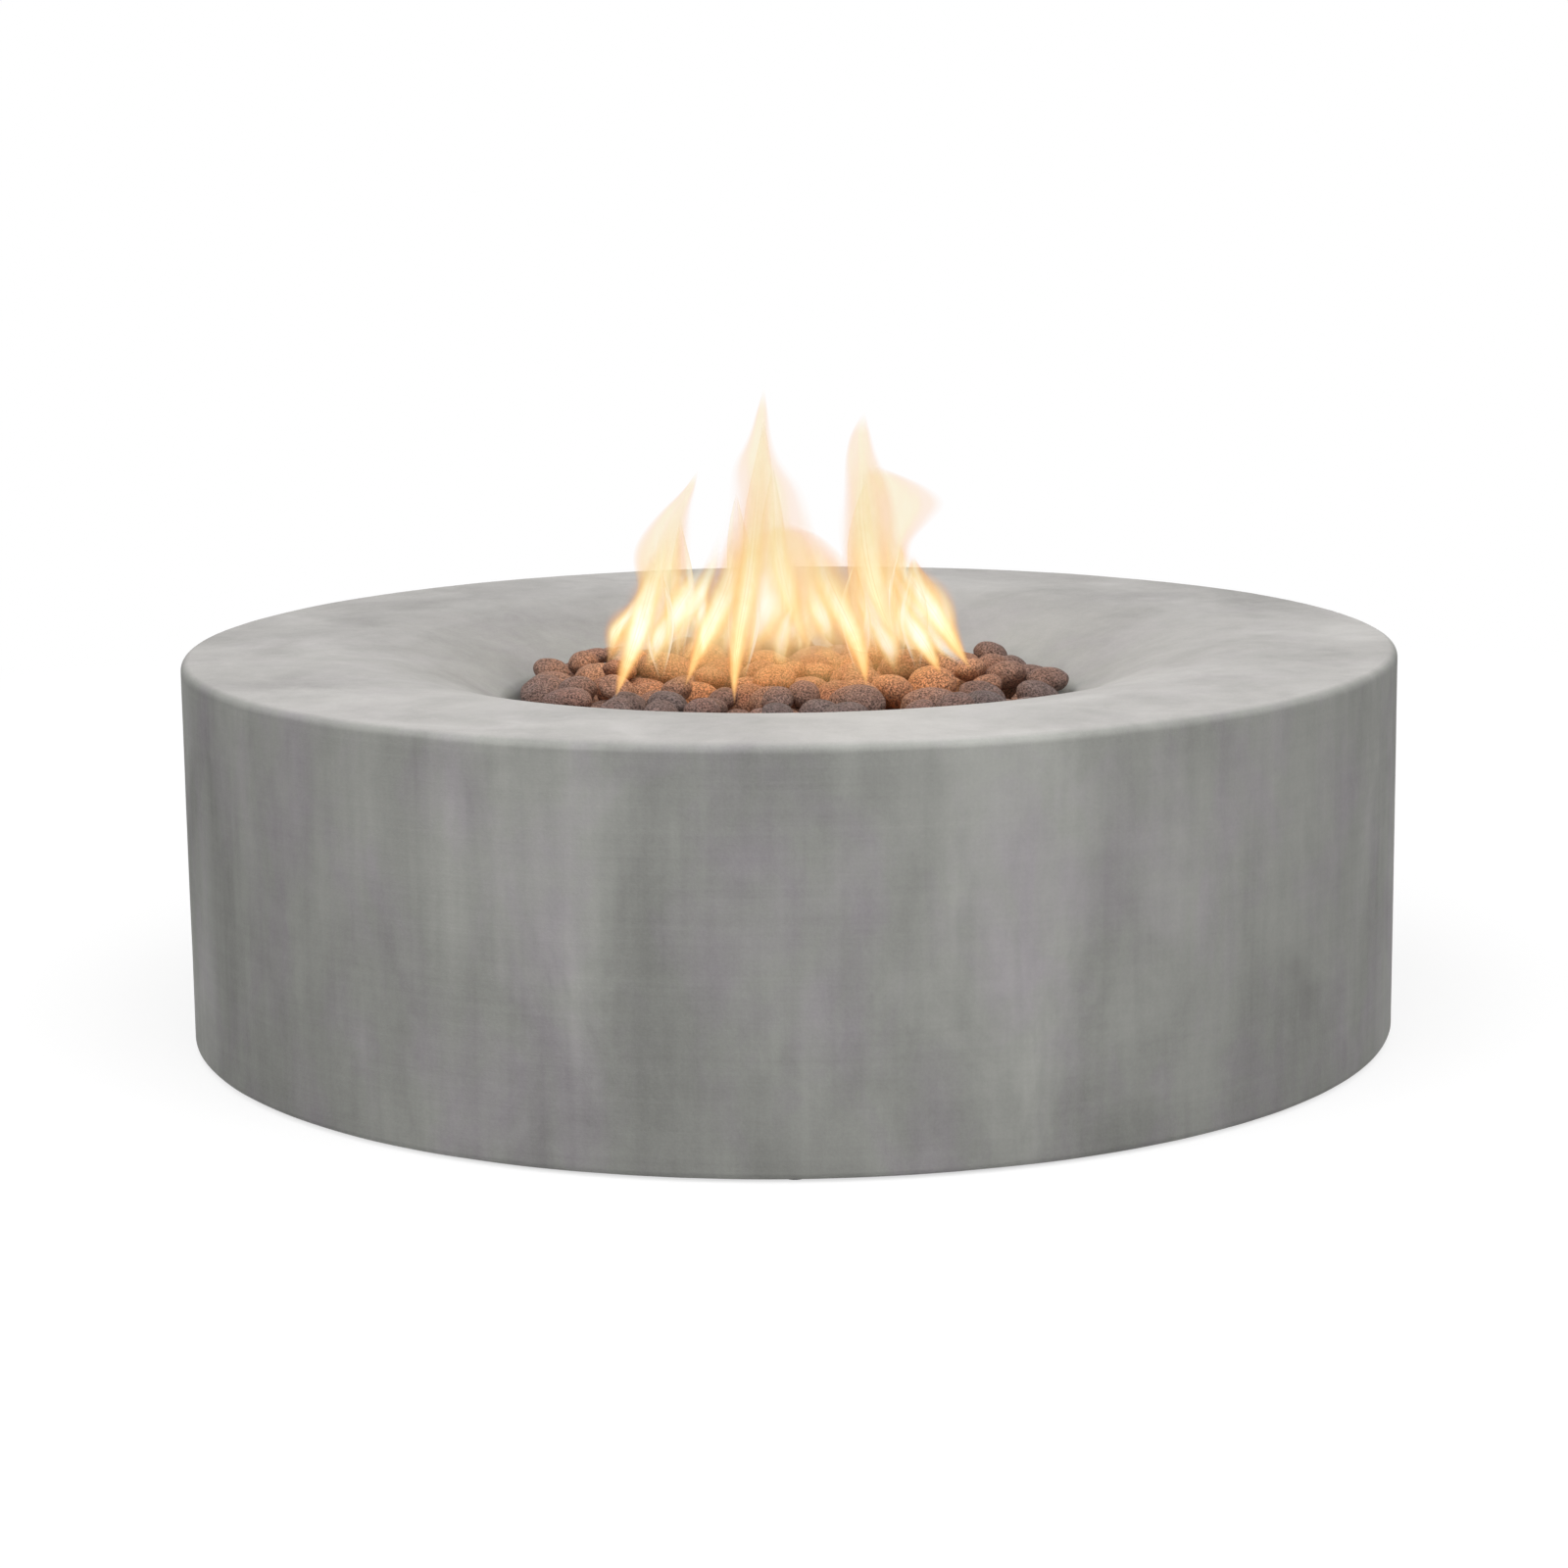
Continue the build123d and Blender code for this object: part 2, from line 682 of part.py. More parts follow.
def make_stem():
    """Valve stem with its collar and the flat that drives the knob."""
    stem = rod_y(VALVE_X, NICHE_Z, plunger_front, stem_tip, STEM_R)
    stem += rod_y(VALVE_X, NICHE_Z, plunger_front, plunger_front + STEM_COLLAR_T, STEM_COLLAR_R)
    flat = block(
        VALVE_X - KNOB_R,
        VALVE_X + KNOB_R,
        knob_back + KNOB_RECESS_H,
        knob_front,
        NICHE_Z + STEM_R - STEM_FLAT,
        NICHE_Z + KNOB_R,
    )
    return stem - flat


def make_knob():
    """Knob with a round skirt, a grip bar that points at its setting and a hollow back."""
    skirt = rod_y(VALVE_X, NICHE_Z, knob_back, knob_back + KNOB_SKIRT_H, KNOB_R)
    skirt = fillet(skirt.edges().group_by(Axis.Y)[-1], KNOB_EDGE_R)
    grip = block(
        VALVE_X - KNOB_R,
        VALVE_X + KNOB_R,
        knob_back + KNOB_SKIRT_H / 2,
        knob_front,
        NICHE_Z - KNOB_BAR_W / 2,
        NICHE_Z + KNOB_BAR_W / 2,
    )
    grip &= rod_y(VALVE_X, NICHE_Z, knob_back, knob_front, KNOB_BAR_R)
    grip = fillet(grip.edges().group_by(Axis.Y)[-1], KNOB_EDGE_R)
    hub = rod_y(VALVE_X, NICHE_Z, knob_back + KNOB_RECESS_H, knob_front - KNOB_CROWN_T, KNOB_HUB_R)
    bore = rod_y(VALVE_X, NICHE_Z, knob_back, knob_front - KNOB_CROWN_T, STEM_R + RUN_FIT)
    key = block(
        VALVE_X - KNOB_R,
        VALVE_X + KNOB_R,
        knob_back,
        knob_front,
        NICHE_Z + STEM_R - STEM_FLAT + RUN_FIT,
        NICHE_Z + KNOB_R,
    )
    recess = rod_y(VALVE_X, NICHE_Z, knob_back - OVERRUN, knob_back + KNOB_RECESS_H, KNOB_RECESS_R)
    mark = block(
        VALVE_X + KNOB_BAR_R - KNOB_MARK_L,
        VALVE_X + KNOB_R,
        knob_front - KNOB_MARK_DEPTH,
        knob_front + OVERRUN,
        NICHE_Z - KNOB_MARK_W / 2,
        NICHE_Z + KNOB_MARK_W / 2,
    )
    return skirt + grip + hub - recess - (bore - key) - mark


def make_igniter_body():
    """Barrel of the igniter with its front flange and rear terminal."""
    barrel = rod_y(IGNITER_X, NICHE_Z, igniter_back, igniter_front, IGNITER_R)
    flange = rod_y(IGNITER_X, NICHE_Z, plate_y, igniter_front, IGNITER_FLANGE_R)
    flange = fillet(flange.edges().group_by(Axis.Y)[-1], IGNITER_FLANGE_T / 3)
    terminal = rod_y(IGNITER_X, NICHE_Z, terminal_y, igniter_back, TERMINAL_R)
    bore = rod_y(IGNITER_X, NICHE_Z, bore_back, igniter_front + OVERRUN, IGNITER_BORE_R)
    return barrel + flange + terminal - bore


def make_igniter_nut():
    """Nut that clamps the igniter behind the plate."""
    nut = hex_y(IGNITER_X, NICHE_Z, niche_y - IGNITER_NUT_T, niche_y, IGNITER_NUT_AF)
    return nut - rod_y(
        IGNITER_X, NICHE_Z, niche_y - OVERRUN - IGNITER_NUT_T, plate_y, IGNITER_R + RUN_FIT
    )


def make_igniter_button():
    """Push button of the igniter."""
    button = rod_y(IGNITER_X, NICHE_Z, button_back, button_front, IGNITER_BORE_R - RUN_FIT)
    return fillet(button.edges().group_by(Axis.Y)[-1], BUTTON_EDGE_R)


def make_battery():
    """Battery inside the igniter."""
    cell = rod_y(IGNITER_X, NICHE_Z, bore_back, bore_back + BATTERY_L, BATTERY_R)
    return cell + rod_y(IGNITER_X, NICHE_Z, bore_back + BATTERY_L, battery_tip_y, BATTERY_TIP_R)


def make_igniter_spring():
    """Spring between the battery and the button."""
    seat = bore_back + BATTERY_L + FIT / 2
    free = button_back - seat - FIT / 2
    return facing_back(IGNITER_X, seat, NICHE_Z) * coil(
        BATTERY_R, IGNITER_SPRING_WIRE_R, free, IGNITER_SPRING_TURNS
    )


def make_gas_inlet():
    """Bulkhead elbow: flare end outside, nut flange, thread through the panel, stub upwards."""
    flange_front = niche_y + INLET_FLANGE_T
    pin_front = flange_front + INLET_PIN_L
    pin = rod_y(VALVE_X, INLET_Z, flange_front, pin_front, INLET_PIN_R)
    pin = chamfer(pin.edges().group_by(Axis.Y)[-1], INLET_PIN_CHAMFER)
    fitting = pin + hex_y(VALVE_X, INLET_Z, niche_y, flange_front, INLET_FLANGE_AF)
    fitting += rod_y(VALVE_X, INLET_Z, inlet_elbow_y, niche_y, INLET_R)
    fitting += Pos(VALVE_X, inlet_elbow_y, INLET_Z) * Sphere(INLET_R)
    fitting += rod_z(VALVE_X, inlet_elbow_y, INLET_Z, inlet_stub_top, INLET_R)
    fitting -= rod_y(VALVE_X, INLET_Z, inlet_elbow_y, pin_front + OVERRUN, PORT_BORE_R)
    fitting -= Pos(VALVE_X, inlet_elbow_y, INLET_Z) * Sphere(PORT_BORE_R)
    return fitting - rod_z(VALVE_X, inlet_elbow_y, INLET_Z, inlet_stub_top + OVERRUN, PORT_BORE_R)


def make_inlet_locknut():
    """Nut that holds the inlet from inside."""
    nut = hex_y(VALVE_X, INLET_Z, panel_y - INLET_NUT_T, panel_y, INLET_FLANGE_AF)
    return nut - rod_y(
        VALVE_X, INLET_Z, panel_y - INLET_NUT_T - OVERRUN, panel_y + OVERRUN, INLET_R + RUN_FIT
    )


def make_inlet_pipe():
    """Rigid pipe from the inlet straight up to the valve."""
    pipe = rod_z(VALVE_X, inlet_elbow_y, inlet_stub_top, valve_port_z, PIPE_R)
    return pipe - rod_z(VALVE_X, inlet_elbow_y, INLET_Z, NICHE_Z, PIPE_BORE_R)


def make_pipe_nuts():
    """Nuts at the two ends of the inlet pipe."""
    places = [
        (inlet_stub_top, inlet_stub_top + PIPE_NUT_T),
        (valve_port_z - PIPE_NUT_T, valve_port_z),
    ]
    bore = rod_z(VALVE_X, inlet_elbow_y, INLET_Z, NICHE_Z, PIPE_R + RUN_FIT)
    return [hex_z(VALVE_X, inlet_elbow_y, low, high, PIPE_NUT_AF) - bore for low, high in places]


def make_gasket():
    """Ceramic fibre ring that the pan sits on."""
    inner = hole_r + GASKET_MARGIN
    outer = pan_rim_r - GASKET_MARGIN
    ring = rod_z(0, 0, ledge_z, ledge_z + GASKET_T, outer)
    return ring - rod_z(0, 0, ledge_z - OVERRUN, ledge_z + OVERRUN, inner)


def make_pan():
    """Pressed steel pan with a rim, drilled for the burner, the pilot and for rain."""
    points = [
        (0, pan_under),
        (pan_r, pan_under),
        (pan_r, flange_z),
        (pan_rim_r, flange_z),
        (pan_rim_r, flange_top),
        (pan_inner_r, flange_top),
        (pan_inner_r, pan_floor),
        (0, pan_floor),
    ]
    radii = [0, PAN_CORNER_R, 0, 0, 0, 0, PAN_CORNER_R - PAN_T, 0]
    pan = turned(points, radii)
    low = pan_under - OVERRUN
    high = pan_floor + OVERRUN
    cuts = [
        rod_z(0, 0, low, high, NIPPLE_R + FIT),
        rod_z(PILOT_X, pilot_y, low, high, INSULATOR_R + RUN_FIT),
        rod_z(-PILOT_X, pilot_y, low, high, PROBE_R + RUN_FIT),
    ]
    cuts += [rod_z(x, pilot_y, low, high, SCREW_R + RUN_FIT) for x in pilot_screw_places()]
    for index in range(WEEP_COUNT):
        angle = math.radians(index * 360 / WEEP_COUNT)
        cuts.append(
            rod_z(weep_ring_r * math.cos(angle), weep_ring_r * math.sin(angle), low, high, WEEP_R)
        )
    return pan - cuts


def pilot_screw_places():
    """Places across the pan of the two screws beside the hood."""
    offset = HOOD_W / 2 + HOOD_FOOT / 2
    return (-offset, offset)


def ring_and_spokes(tube_r, spoke_r):
    """Many-sided ring with one straight tube across it."""
    outline = RegularPolygon(tube_r, RING_SIDES, rotation=180 / RING_SIDES)
    section = Plane.XZ * Pos(RING_R, ring_z) * outline
    ring = Rot(0, 0, 90) * revolve(section, Axis.Z)
    return ring + Pos(0, 0, ring_z) * Rot(0, 90, 0) * Cylinder(spoke_r, 2 * RING_R)


def burner_tubes(grow):
    """Outside of the ring, its two spokes and its hub, enlarged by a clearance."""
    hub = rod_z(0, 0, pan_floor, ring_z + RING_TUBE_R + grow, HUB_R + grow)
    return ring_and_spokes(RING_TUBE_R + grow, SPOKE_R + grow) + hub


def make_burner():
    """Hollow gas ring fed through two spokes from a hub, drilled along its top."""
    burner = burner_tubes(0)
    chamber_top = ring_z + RING_TUBE_R - HUB_CAP_T
    bores = ring_and_spokes(RING_BORE_R, SPOKE_BORE_R)
    burner -= bores + rod_z(0, 0, pan_floor, chamber_top, SPOKE_BORE_R)
    burner -= rod_z(0, 0, pan_floor - OVERRUN, pan_floor + HUB_BORE_DEPTH, NIPPLE_R + RUN_FIT)
    ports = []
    for index in range(FLAME_PORT_COUNT):
        angle = math.radians((index + 0.5) * 360 / FLAME_PORT_COUNT)
        ports.append(
            rod_z(
                RING_R * math.cos(angle),
                RING_R * math.sin(angle),
                ring_z,
                ring_z + RING_TUBE_R + OVERRUN,
                FLAME_PORT_R,
            )
        )
    return burner - ports


def make_nipple():
    """Threaded pipe from the mixer through the pan into the hub."""
    top = pan_floor + HUB_BORE_DEPTH
    pipe = rod_z(0, 0, nipple_z, top, NIPPLE_R)
    return pipe - rod_z(0, 0, nipple_z - OVERRUN, top + OVERRUN, NIPPLE_BORE_R)


def make_washer():
    """Washer under the pan."""
    ring = rod_z(0, 0, pan_under - WASHER_T, pan_under, WASHER_R)
    return ring - rod_z(0, 0, pan_under - OVERRUN, pan_under + OVERRUN, NIPPLE_R + FIT)


def make_locknut():
    """Nut that pulls the burner down onto the pan."""
    nut = hex_z(0, 0, locknut_z, locknut_z + LOCKNUT_T, LOCKNUT_AF)
    return nut - rod_z(
        0, 0, locknut_z - OVERRUN, locknut_z + LOCKNUT_T + OVERRUN, NIPPLE_R + RUN_FIT
    )


def make_mixer():
    """Air mixer: a sleeve with side holes between the elbow and the nipple."""
    sleeve = rod_z(0, 0, mixer_z, mixer_top, MIXER_R)
    sleeve -= rod_z(0, 0, mixer_z - OVERRUN, mixer_top + OVERRUN, MIXER_BORE_R)
    sleeve -= rod_z(0, 0, nipple_z, mixer_top + OVERRUN, NIPPLE_R + RUN_FIT)
    sleeve -= rod_z(0, 0, mixer_z - OVERRUN, elbow_top, BURNER_ELBOW_R + RUN_FIT)
    mid_z = (elbow_top + ORIFICE_L + nipple_z) / 2
    holes = []
    for index in range(AIR_HOLE_COUNT):
        angle = (index + 0.5) * 360 / AIR_HOLE_COUNT
        holes.append(radial_plane(angle, MIXER_R, mid_z) * Cylinder(AIR_HOLE_R, 2 * MIXER_BORE_R))
    return sleeve - holes


def make_orifice():
    """Brass jet that stands on the elbow inside the mixer."""
    jet = rod_z(0, 0, elbow_top, elbow_top + ORIFICE_L, ORIFICE_R)
    jet -= rod_z(0, 0, elbow_top - OVERRUN, elbow_top + ORIFICE_L / 2, ORIFICE_R / 2)
    return jet - rod_z(0, 0, elbow_top, elbow_top + ORIFICE_L + OVERRUN, ORIFICE_HOLE_R)


def make_burner_elbow():
    """Elbow that turns the hose up into the mixer."""
    elbow = rod_z(0, 0, elbow_z, elbow_top, BURNER_ELBOW_R)
    elbow += Pos(0, 0, elbow_z) * Sphere(BURNER_ELBOW_R)
    elbow += rod_y(0, elbow_z, 0, BURNER_ELBOW_REACH, PORT_R)
    elbow -= rod_z(0, 0, elbow_z, elbow_top + OVERRUN, PORT_BORE_R)
    elbow -= Pos(0, 0, elbow_z) * Sphere(PORT_BORE_R)
    return elbow - rod_y(0, elbow_z, 0, BURNER_ELBOW_REACH + OVERRUN, PORT_BORE_R)


def make_hose():
    """Gas hose from the valve to the elbow under the burner."""
    points = [
        (0, BURNER_ELBOW_REACH, elbow_z),
        (0, BURNER_ELBOW_REACH + HOSE_LEVEL_RUN, elbow_z),
        (VALVE_X, outlet_y - HOSE_DROP_RUN, outlet_z),
        (VALVE_X, outlet_y, outlet_z),
    ]
    return routed(points, HOSE_R, HOSE_BORE_R)


def make_hose_nuts():
    """Nuts that clamp the hose to the valve and to the elbow."""
    nuts = []
    for x, z, port_end, away in (
        (VALVE_X, outlet_z, outlet_y, -1),
        (0, elbow_z, BURNER_ELBOW_REACH, 1),
    ):
        covered = port_end - away * HOSE_NUT_COVER
        far = covered + away * HOSE_NUT_L
        low = min(covered, far)
        high = max(covered, far)
        nut = hex_y(x, z, low, high, HOSE_NUT_AF)
        past = covered - away * OVERRUN
        nut -= rod_y(x, z, min(past, port_end), max(past, port_end), PORT_R + RUN_FIT)
        nut -= rod_y(x, z, low - OVERRUN, high + OVERRUN, HOSE_R + FIT)
        nuts.append(nut)
    return nuts


def make_spark():
    """Spark rod, bent towards the ring above its insulator."""
    points = [
        (PILOT_X, pilot_y, pilot_tail),
        (PILOT_X, pilot_y, pilot_tip),
        (PILOT_X, pilot_y + PILOT_TIP_L, pilot_tip),
    ]
    path = FilletPolyline(*points, radius=PILOT_BEND_R)
    return sweep(Plane(origin=points[0], z_dir=(0, 0, 1)) * Circle(SPARK_R), path=path)


def make_insulator():
    """Ceramic sleeve of the spark rod, its collar resting on the bracket."""
    sleeve = rod_z(PILOT_X, pilot_y, pilot_low, bracket_top + INSULATOR_RISE, INSULATOR_R)
    sleeve += rod_z(
        PILOT_X, pilot_y, bracket_top, bracket_top + INSULATOR_COLLAR_T, INSULATOR_COLLAR_R
    )
    return sleeve - rod_z(
        PILOT_X, pilot_y, pilot_low - OVERRUN, pilot_tip + OVERRUN, SPARK_R + RUN_FIT
    )


def make_ignition_lead():
    """Lead from the igniter to the spark rod."""
    low = pilot_tail - LEAD_SAG
    points = [
        (PILOT_X, pilot_y, pilot_tail),
        (PILOT_X, pilot_y, low),
        (PILOT_X, pilot_y + LEAD_LEVEL_RUN, low),
        (IGNITER_X, terminal_y - LEAD_END_RUN, NICHE_Z),
        (IGNITER_X, terminal_y, NICHE_Z),
    ]
    return routed(points, LEAD_R)


def make_thermocouple():
    """Flame probe on the bracket and its lead back to the valve."""
    low = pilot_tail - LEAD_SAG
    probe = rod_z(-PILOT_X, pilot_y, pilot_low, pilot_tip, PROBE_R)
    probe = fillet(probe.edges().group_by(Axis.Z)[-1], PROBE_R / 2)
    probe += rod_z(
        -PILOT_X, pilot_y, bracket_top, bracket_top + INSULATOR_COLLAR_T, PROBE_COLLAR_R
    )
    points = [
        (-PILOT_X, pilot_y, pilot_low),
        (-PILOT_X, pilot_y, low),
        (-PILOT_X, pilot_y + LEAD_LEVEL_RUN, low),
        (VALVE_X, probe_port_y - LEAD_END_RUN, probe_port_z),
        (VALVE_X, probe_port_y, probe_port_z),
    ]
    return probe + routed(points, LEAD_R)


def make_probe_nut():
    """Nut that holds the probe lead to the valve."""
    nut = hex_y(VALVE_X, probe_port_z, probe_port_y - PROBE_NUT_T, probe_port_y, PROBE_NUT_AF)
    return nut - rod_y(
        VALVE_X,
        probe_port_z,
        probe_port_y - PROBE_NUT_T - OVERRUN,
        probe_port_y + OVERRUN,
        LEAD_R + RUN_FIT,
    )


def make_bracket():
    """Plate on the pan floor that carries the spark, the probe and the hood."""
    half_w = HOOD_W / 2 + HOOD_FOOT
    plate = block(
        -half_w, half_w, pilot_y - HOOD_D / 2, pilot_y + HOOD_D / 2, pan_floor, bracket_top
    )
    low = pan_floor - OVERRUN
    high = bracket_top + OVERRUN
    cuts = [
        rod_z(PILOT_X, pilot_y, low, high, INSULATOR_R + RUN_FIT),
        rod_z(-PILOT_X, pilot_y, low, high, PROBE_R + RUN_FIT),
    ]
    cuts += [rod_z(x, pilot_y, low, high, SCREW_R + RUN_FIT) for x in pilot_screw_places()]
    return plate - cuts


def make_hood():
    """Sheet hood over the spark and the probe, open towards the ring, slotted on top."""
    half_w = HOOD_W / 2
    back = pilot_y - HOOD_D / 2
    front = pilot_y + HOOD_D / 2
    hood = block(-half_w, half_w, back, front, bracket_top, hood_top)
    hood -= block(
        -half_w + HOOD_T, half_w - HOOD_T, back + HOOD_T, front + OVERRUN, 0, hood_top - HOOD_T
    )
    for side in (-1, 1):
        inner = side * (half_w - HOOD_T)
        outer = side * (half_w + HOOD_FOOT)
        hood += block(
            min(inner, outer), max(inner, outer), back, front, bracket_top, bracket_top + HOOD_T
        )
    cuts = [
        rod_z(x, pilot_y, bracket_top - OVERRUN, bracket_top + OVERRUN, SCREW_R + FIT)
        for x in pilot_screw_places()
    ]
    pitch = HOOD_W / (HOOD_SLOT_COUNT + 1)
    for index in range(HOOD_SLOT_COUNT):
        x = (index + 1) * pitch - half_w
        cuts.append(
            block(
                x - HOOD_SLOT_W / 2,
                x + HOOD_SLOT_W / 2,
                back + HOOD_SLOT_W,
                front - HOOD_SLOT_W,
                hood_top - 2 * HOOD_T,
                hood_top + OVERRUN,
            )
        )
    return hood - cuts


def make_pilot_screws():
    """Screws through the hood and the bracket into the pan."""
    seat = bracket_top + HOOD_T
    return [Pos(x, pilot_y, seat) * slotted_screw(PILOT_SCREW_L) for x in pilot_screw_places()]


def make_gravel():
    """Bed of fine lava gravel round the burner and up to its top."""
    bed = rod_z(0, 0, pan_floor, gravel_top, pan_inner_r - FIT)
    bed = chamfer(bed.edges().group_by(Axis.Z)[0], GRAVEL_CHAMFER)
    half_w = HOOD_W / 2 + HOOD_FOOT + FIT
    room = block(
        -half_w,
        half_w,
        pilot_y - HOOD_D / 2 - FIT,
        RING_R,
        pan_floor - OVERRUN,
        gravel_top + OVERRUN,
    )
    return bed - burner_tubes(FIT) - room


class Stone:
    """One tumbled lava stone: a three-axis ellipsoid lying near flat."""

    def __init__(self, rng):
        longest = STONE_SHORT + (STONE_LONG - STONE_SHORT) * rng.random() ** 1.6
        low, high = STONE_FLATNESS_SHARES
        broad = longest * rng.uniform(low, high)
        low, high = STONE_THICKNESS_SHARES
        thick = broad * rng.uniform(low, high)
        self.half = np.array([longest / 2, broad / 2, thick / 2])
        self.turns = (
            rng.uniform(-STONE_TILT_DEG, STONE_TILT_DEG),
            rng.uniform(-STONE_TILT_DEG, STONE_TILT_DEG),
            rng.uniform(0, 360),
        )
        self.centre = np.zeros(3)
        self.on_bed = True
        across, along, spin = (math.radians(turn) for turn in self.turns)
        about_x = np.array(
            [
                [1, 0, 0],
                [0, math.cos(across), -math.sin(across)],
                [0, math.sin(across), math.cos(across)],
            ]
        )
        about_y = np.array(
            [
                [math.cos(along), 0, math.sin(along)],
                [0, 1, 0],
                [-math.sin(along), 0, math.cos(along)],
            ]
        )
        about_z = np.array(
            [
                [math.cos(spin), -math.sin(spin), 0],
                [math.sin(spin), math.cos(spin), 0],
                [0, 0, 1],
            ]
        )
        self.matrix = about_z @ about_x @ about_y
        grown = self.half + STONE_GAP / 2
        self.form = self.matrix @ np.diag(grown**2) @ self.matrix.T
        self.reach = math.sqrt(max(self.form[0, 0], self.form[1, 1]))
        self.rise = math.sqrt(self.form[2, 2])

    def solid(self):
        """The stone as a solid in its place."""
        across, along, spin = self.turns
        shape = scale(Sphere(1), by=tuple(float(value) for value in self.half))
        place = Pos(*(float(value) for value in self.centre))
        return place * Rot(0, 0, spin) * Rot(across, 0, 0) * Rot(0, along, 0) * shape


def clear_rise(stone, other, across, deep):
    """Least height of a stone over another one from which it can be let down to just touch it."""
    shares = np.linspace(0.04, 0.96, 24)[:, None, None]
    mixed = np.linalg.inv((1 - shares) * stone.form + shares * other.form)
    weights = (shares * (1 - shares))[:, 0, 0]

    def apart(rise):
        way = np.array([across, deep, rise])
        return np.max(weights * np.einsum("i,nij,j->n", way, mixed, way)) >= 1

    reach = stone.rise + other.rise
    high = reach
    for step in np.linspace(reach, -reach, 40):
        if not apart(step):
            break
        high = step
    else:
        return None
    low = step
    for _ in range(16):
        middle = (low + high) / 2
        if apart(middle):
            high = middle
        else:
            low = middle
    return high


def bed_heights(xs, ys):
    """Heights that the stones rest on before the first one is laid."""
    distance = np.hypot(xs, ys)
    bed = np.full(xs.shape, gravel_top)
    over = np.clip(RING_TUBE_R**2 - (distance - RING_R) ** 2, 0, None)
    bed = np.maximum(bed, np.where(over > 0, ring_z + np.sqrt(over), gravel_top))
    over = np.clip(SPOKE_R**2 - ys**2, 0, None)
    on_spoke = (over > 0) & (np.abs(xs) < RING_R)
    bed = np.maximum(bed, np.where(on_spoke, ring_z + np.sqrt(over), gravel_top))
    bed = np.where(distance < HUB_R, ring_z + RING_TUBE_R, bed)
    hood = (np.abs(xs) < HOOD_W / 2) & (np.abs(ys - pilot_y) < HOOD_D / 2)
    bed = np.where(hood, hood_top, bed)
    return np.where(distance > pan_inner_r, flange_top, bed) + STONE_GAP / 2


def catch_points():
    """Points along the inner edge of the pan's rim and the top edges of the hood."""
    count = int(2 * math.pi * pan_inner_r / STONE_CELL) + 1
    angles = np.linspace(0, 2 * math.pi, count)
    level = np.full(count, flange_top)
    loops = [(pan_inner_r * np.cos(angles), pan_inner_r * np.sin(angles), level)]
    along = np.linspace(-0.5, 0.5, int(HOOD_W / STONE_CELL) + 1)
    level = np.full(along.shape, hood_top)
    for side in (-0.5, 0.5):
        same = np.full(along.shape, side)
        loops.append((HOOD_W * along, pilot_y + HOOD_D * same, level))
        loops.append((HOOD_W * same, pilot_y + HOOD_D * along, level))
    xs, ys, zs = (np.concatenate([loop[axis] for loop in loops]) for axis in range(3))
    return xs, ys, zs + STONE_GAP / 2


def lay_stones():
    """Stones dropped one by one into the lowest place found, until the bowl is full."""
    rng = random.Random(STONE_SEED)
    axis = np.arange(-BOWL_R, BOWL_R + STONE_CELL, STONE_CELL)
    xs, ys = np.meshgrid(axis, axis, indexing="ij")
    ground = bed_heights(xs, ys)
    edge_xs, edge_ys, edge_zs = catch_points()
    surface = ground.copy()
    stones = []
    misses = 0
    while misses < STONE_MISSES and len(stones) < stone_limit:
        stone = Stone(rng)
        inverse = np.linalg.inv(stone.form)
        best = None
        for _ in range(STONE_TRIES):
            angle = rng.uniform(0, 2 * math.pi)
            distance = (BOWL_R - FIT - stone.reach) * math.sqrt(rng.random())
            x = distance * math.cos(angle)
            y = distance * math.sin(angle)
            place = landing(stone, inverse, surface, xs, ys, x, y)
            if best is None or place < best[0]:
                best = (place, x, y)
        _, x, y = best
        z = landing(stone, inverse, ground, xs, ys, x, y)
        below, _, covered = half_depths(inverse, edge_xs - x, edge_ys - y)
        z = max(z, float(np.where(covered, edge_zs - below, 0).max()))
        for other in stones:
            across = x - other.centre[0]
            deep = y - other.centre[1]
            if math.hypot(across, deep) < stone.reach + other.reach:
                rise = clear_rise(stone, other, across, deep)
                if rise is not None and other.centre[2] + rise > z:
                    z = other.centre[2] + rise
                    stone.on_bed = False
        top = z + stone.rise
        limit = PIT_H - STONE_TOP_DROP - STONE_CROWN * (math.hypot(x, y) / BOWL_R) ** 2
        if top > limit:
            misses += 1
            continue
        misses = 0
        stone.centre = np.array([x, y, z])
        stones.append(stone)
        raise_surface(stone, inverse, surface, xs, ys)
    return stones


def patch(stone, xs, x, y):
    """Cells of the height grid that a stone covers."""
    origin = xs[0, 0]
    count = xs.shape[0]
    ranges = []
    for value in (x, y):
        low = int(math.floor((value - stone.reach - origin) / STONE_CELL))
        high = int(math.ceil((value + stone.reach - origin) / STONE_CELL)) + 1
        ranges.append(slice(max(low, 0), min(high, count)))
    return tuple(ranges)


def half_depths(inverse, dx, dy):
    """Lower and upper face of a stone over grid cells, with the cells it covers."""
    linear = inverse[0, 2] * dx + inverse[1, 2] * dy
    rest = inverse[0, 0] * dx**2 + 2 * inverse[0, 1] * dx * dy + inverse[1, 1] * dy**2 - 1
    root = linear**2 - inverse[2, 2] * rest
    covered = root > 0
    spread = np.sqrt(np.clip(root, 0, None))
    return (-linear - spread) / inverse[2, 2], (-linear + spread) / inverse[2, 2], covered


def landing(stone, inverse, surface, xs, ys, x, y):
    """Height of a stone's centre when it is let down onto a surface."""
    cells = patch(stone, xs, x, y)
    below, _, covered = half_depths(inverse, xs[cells] - x, ys[cells] - y)
    heights = np.where(covered, surface[cells] - below, 0)
    return float(heights.max())


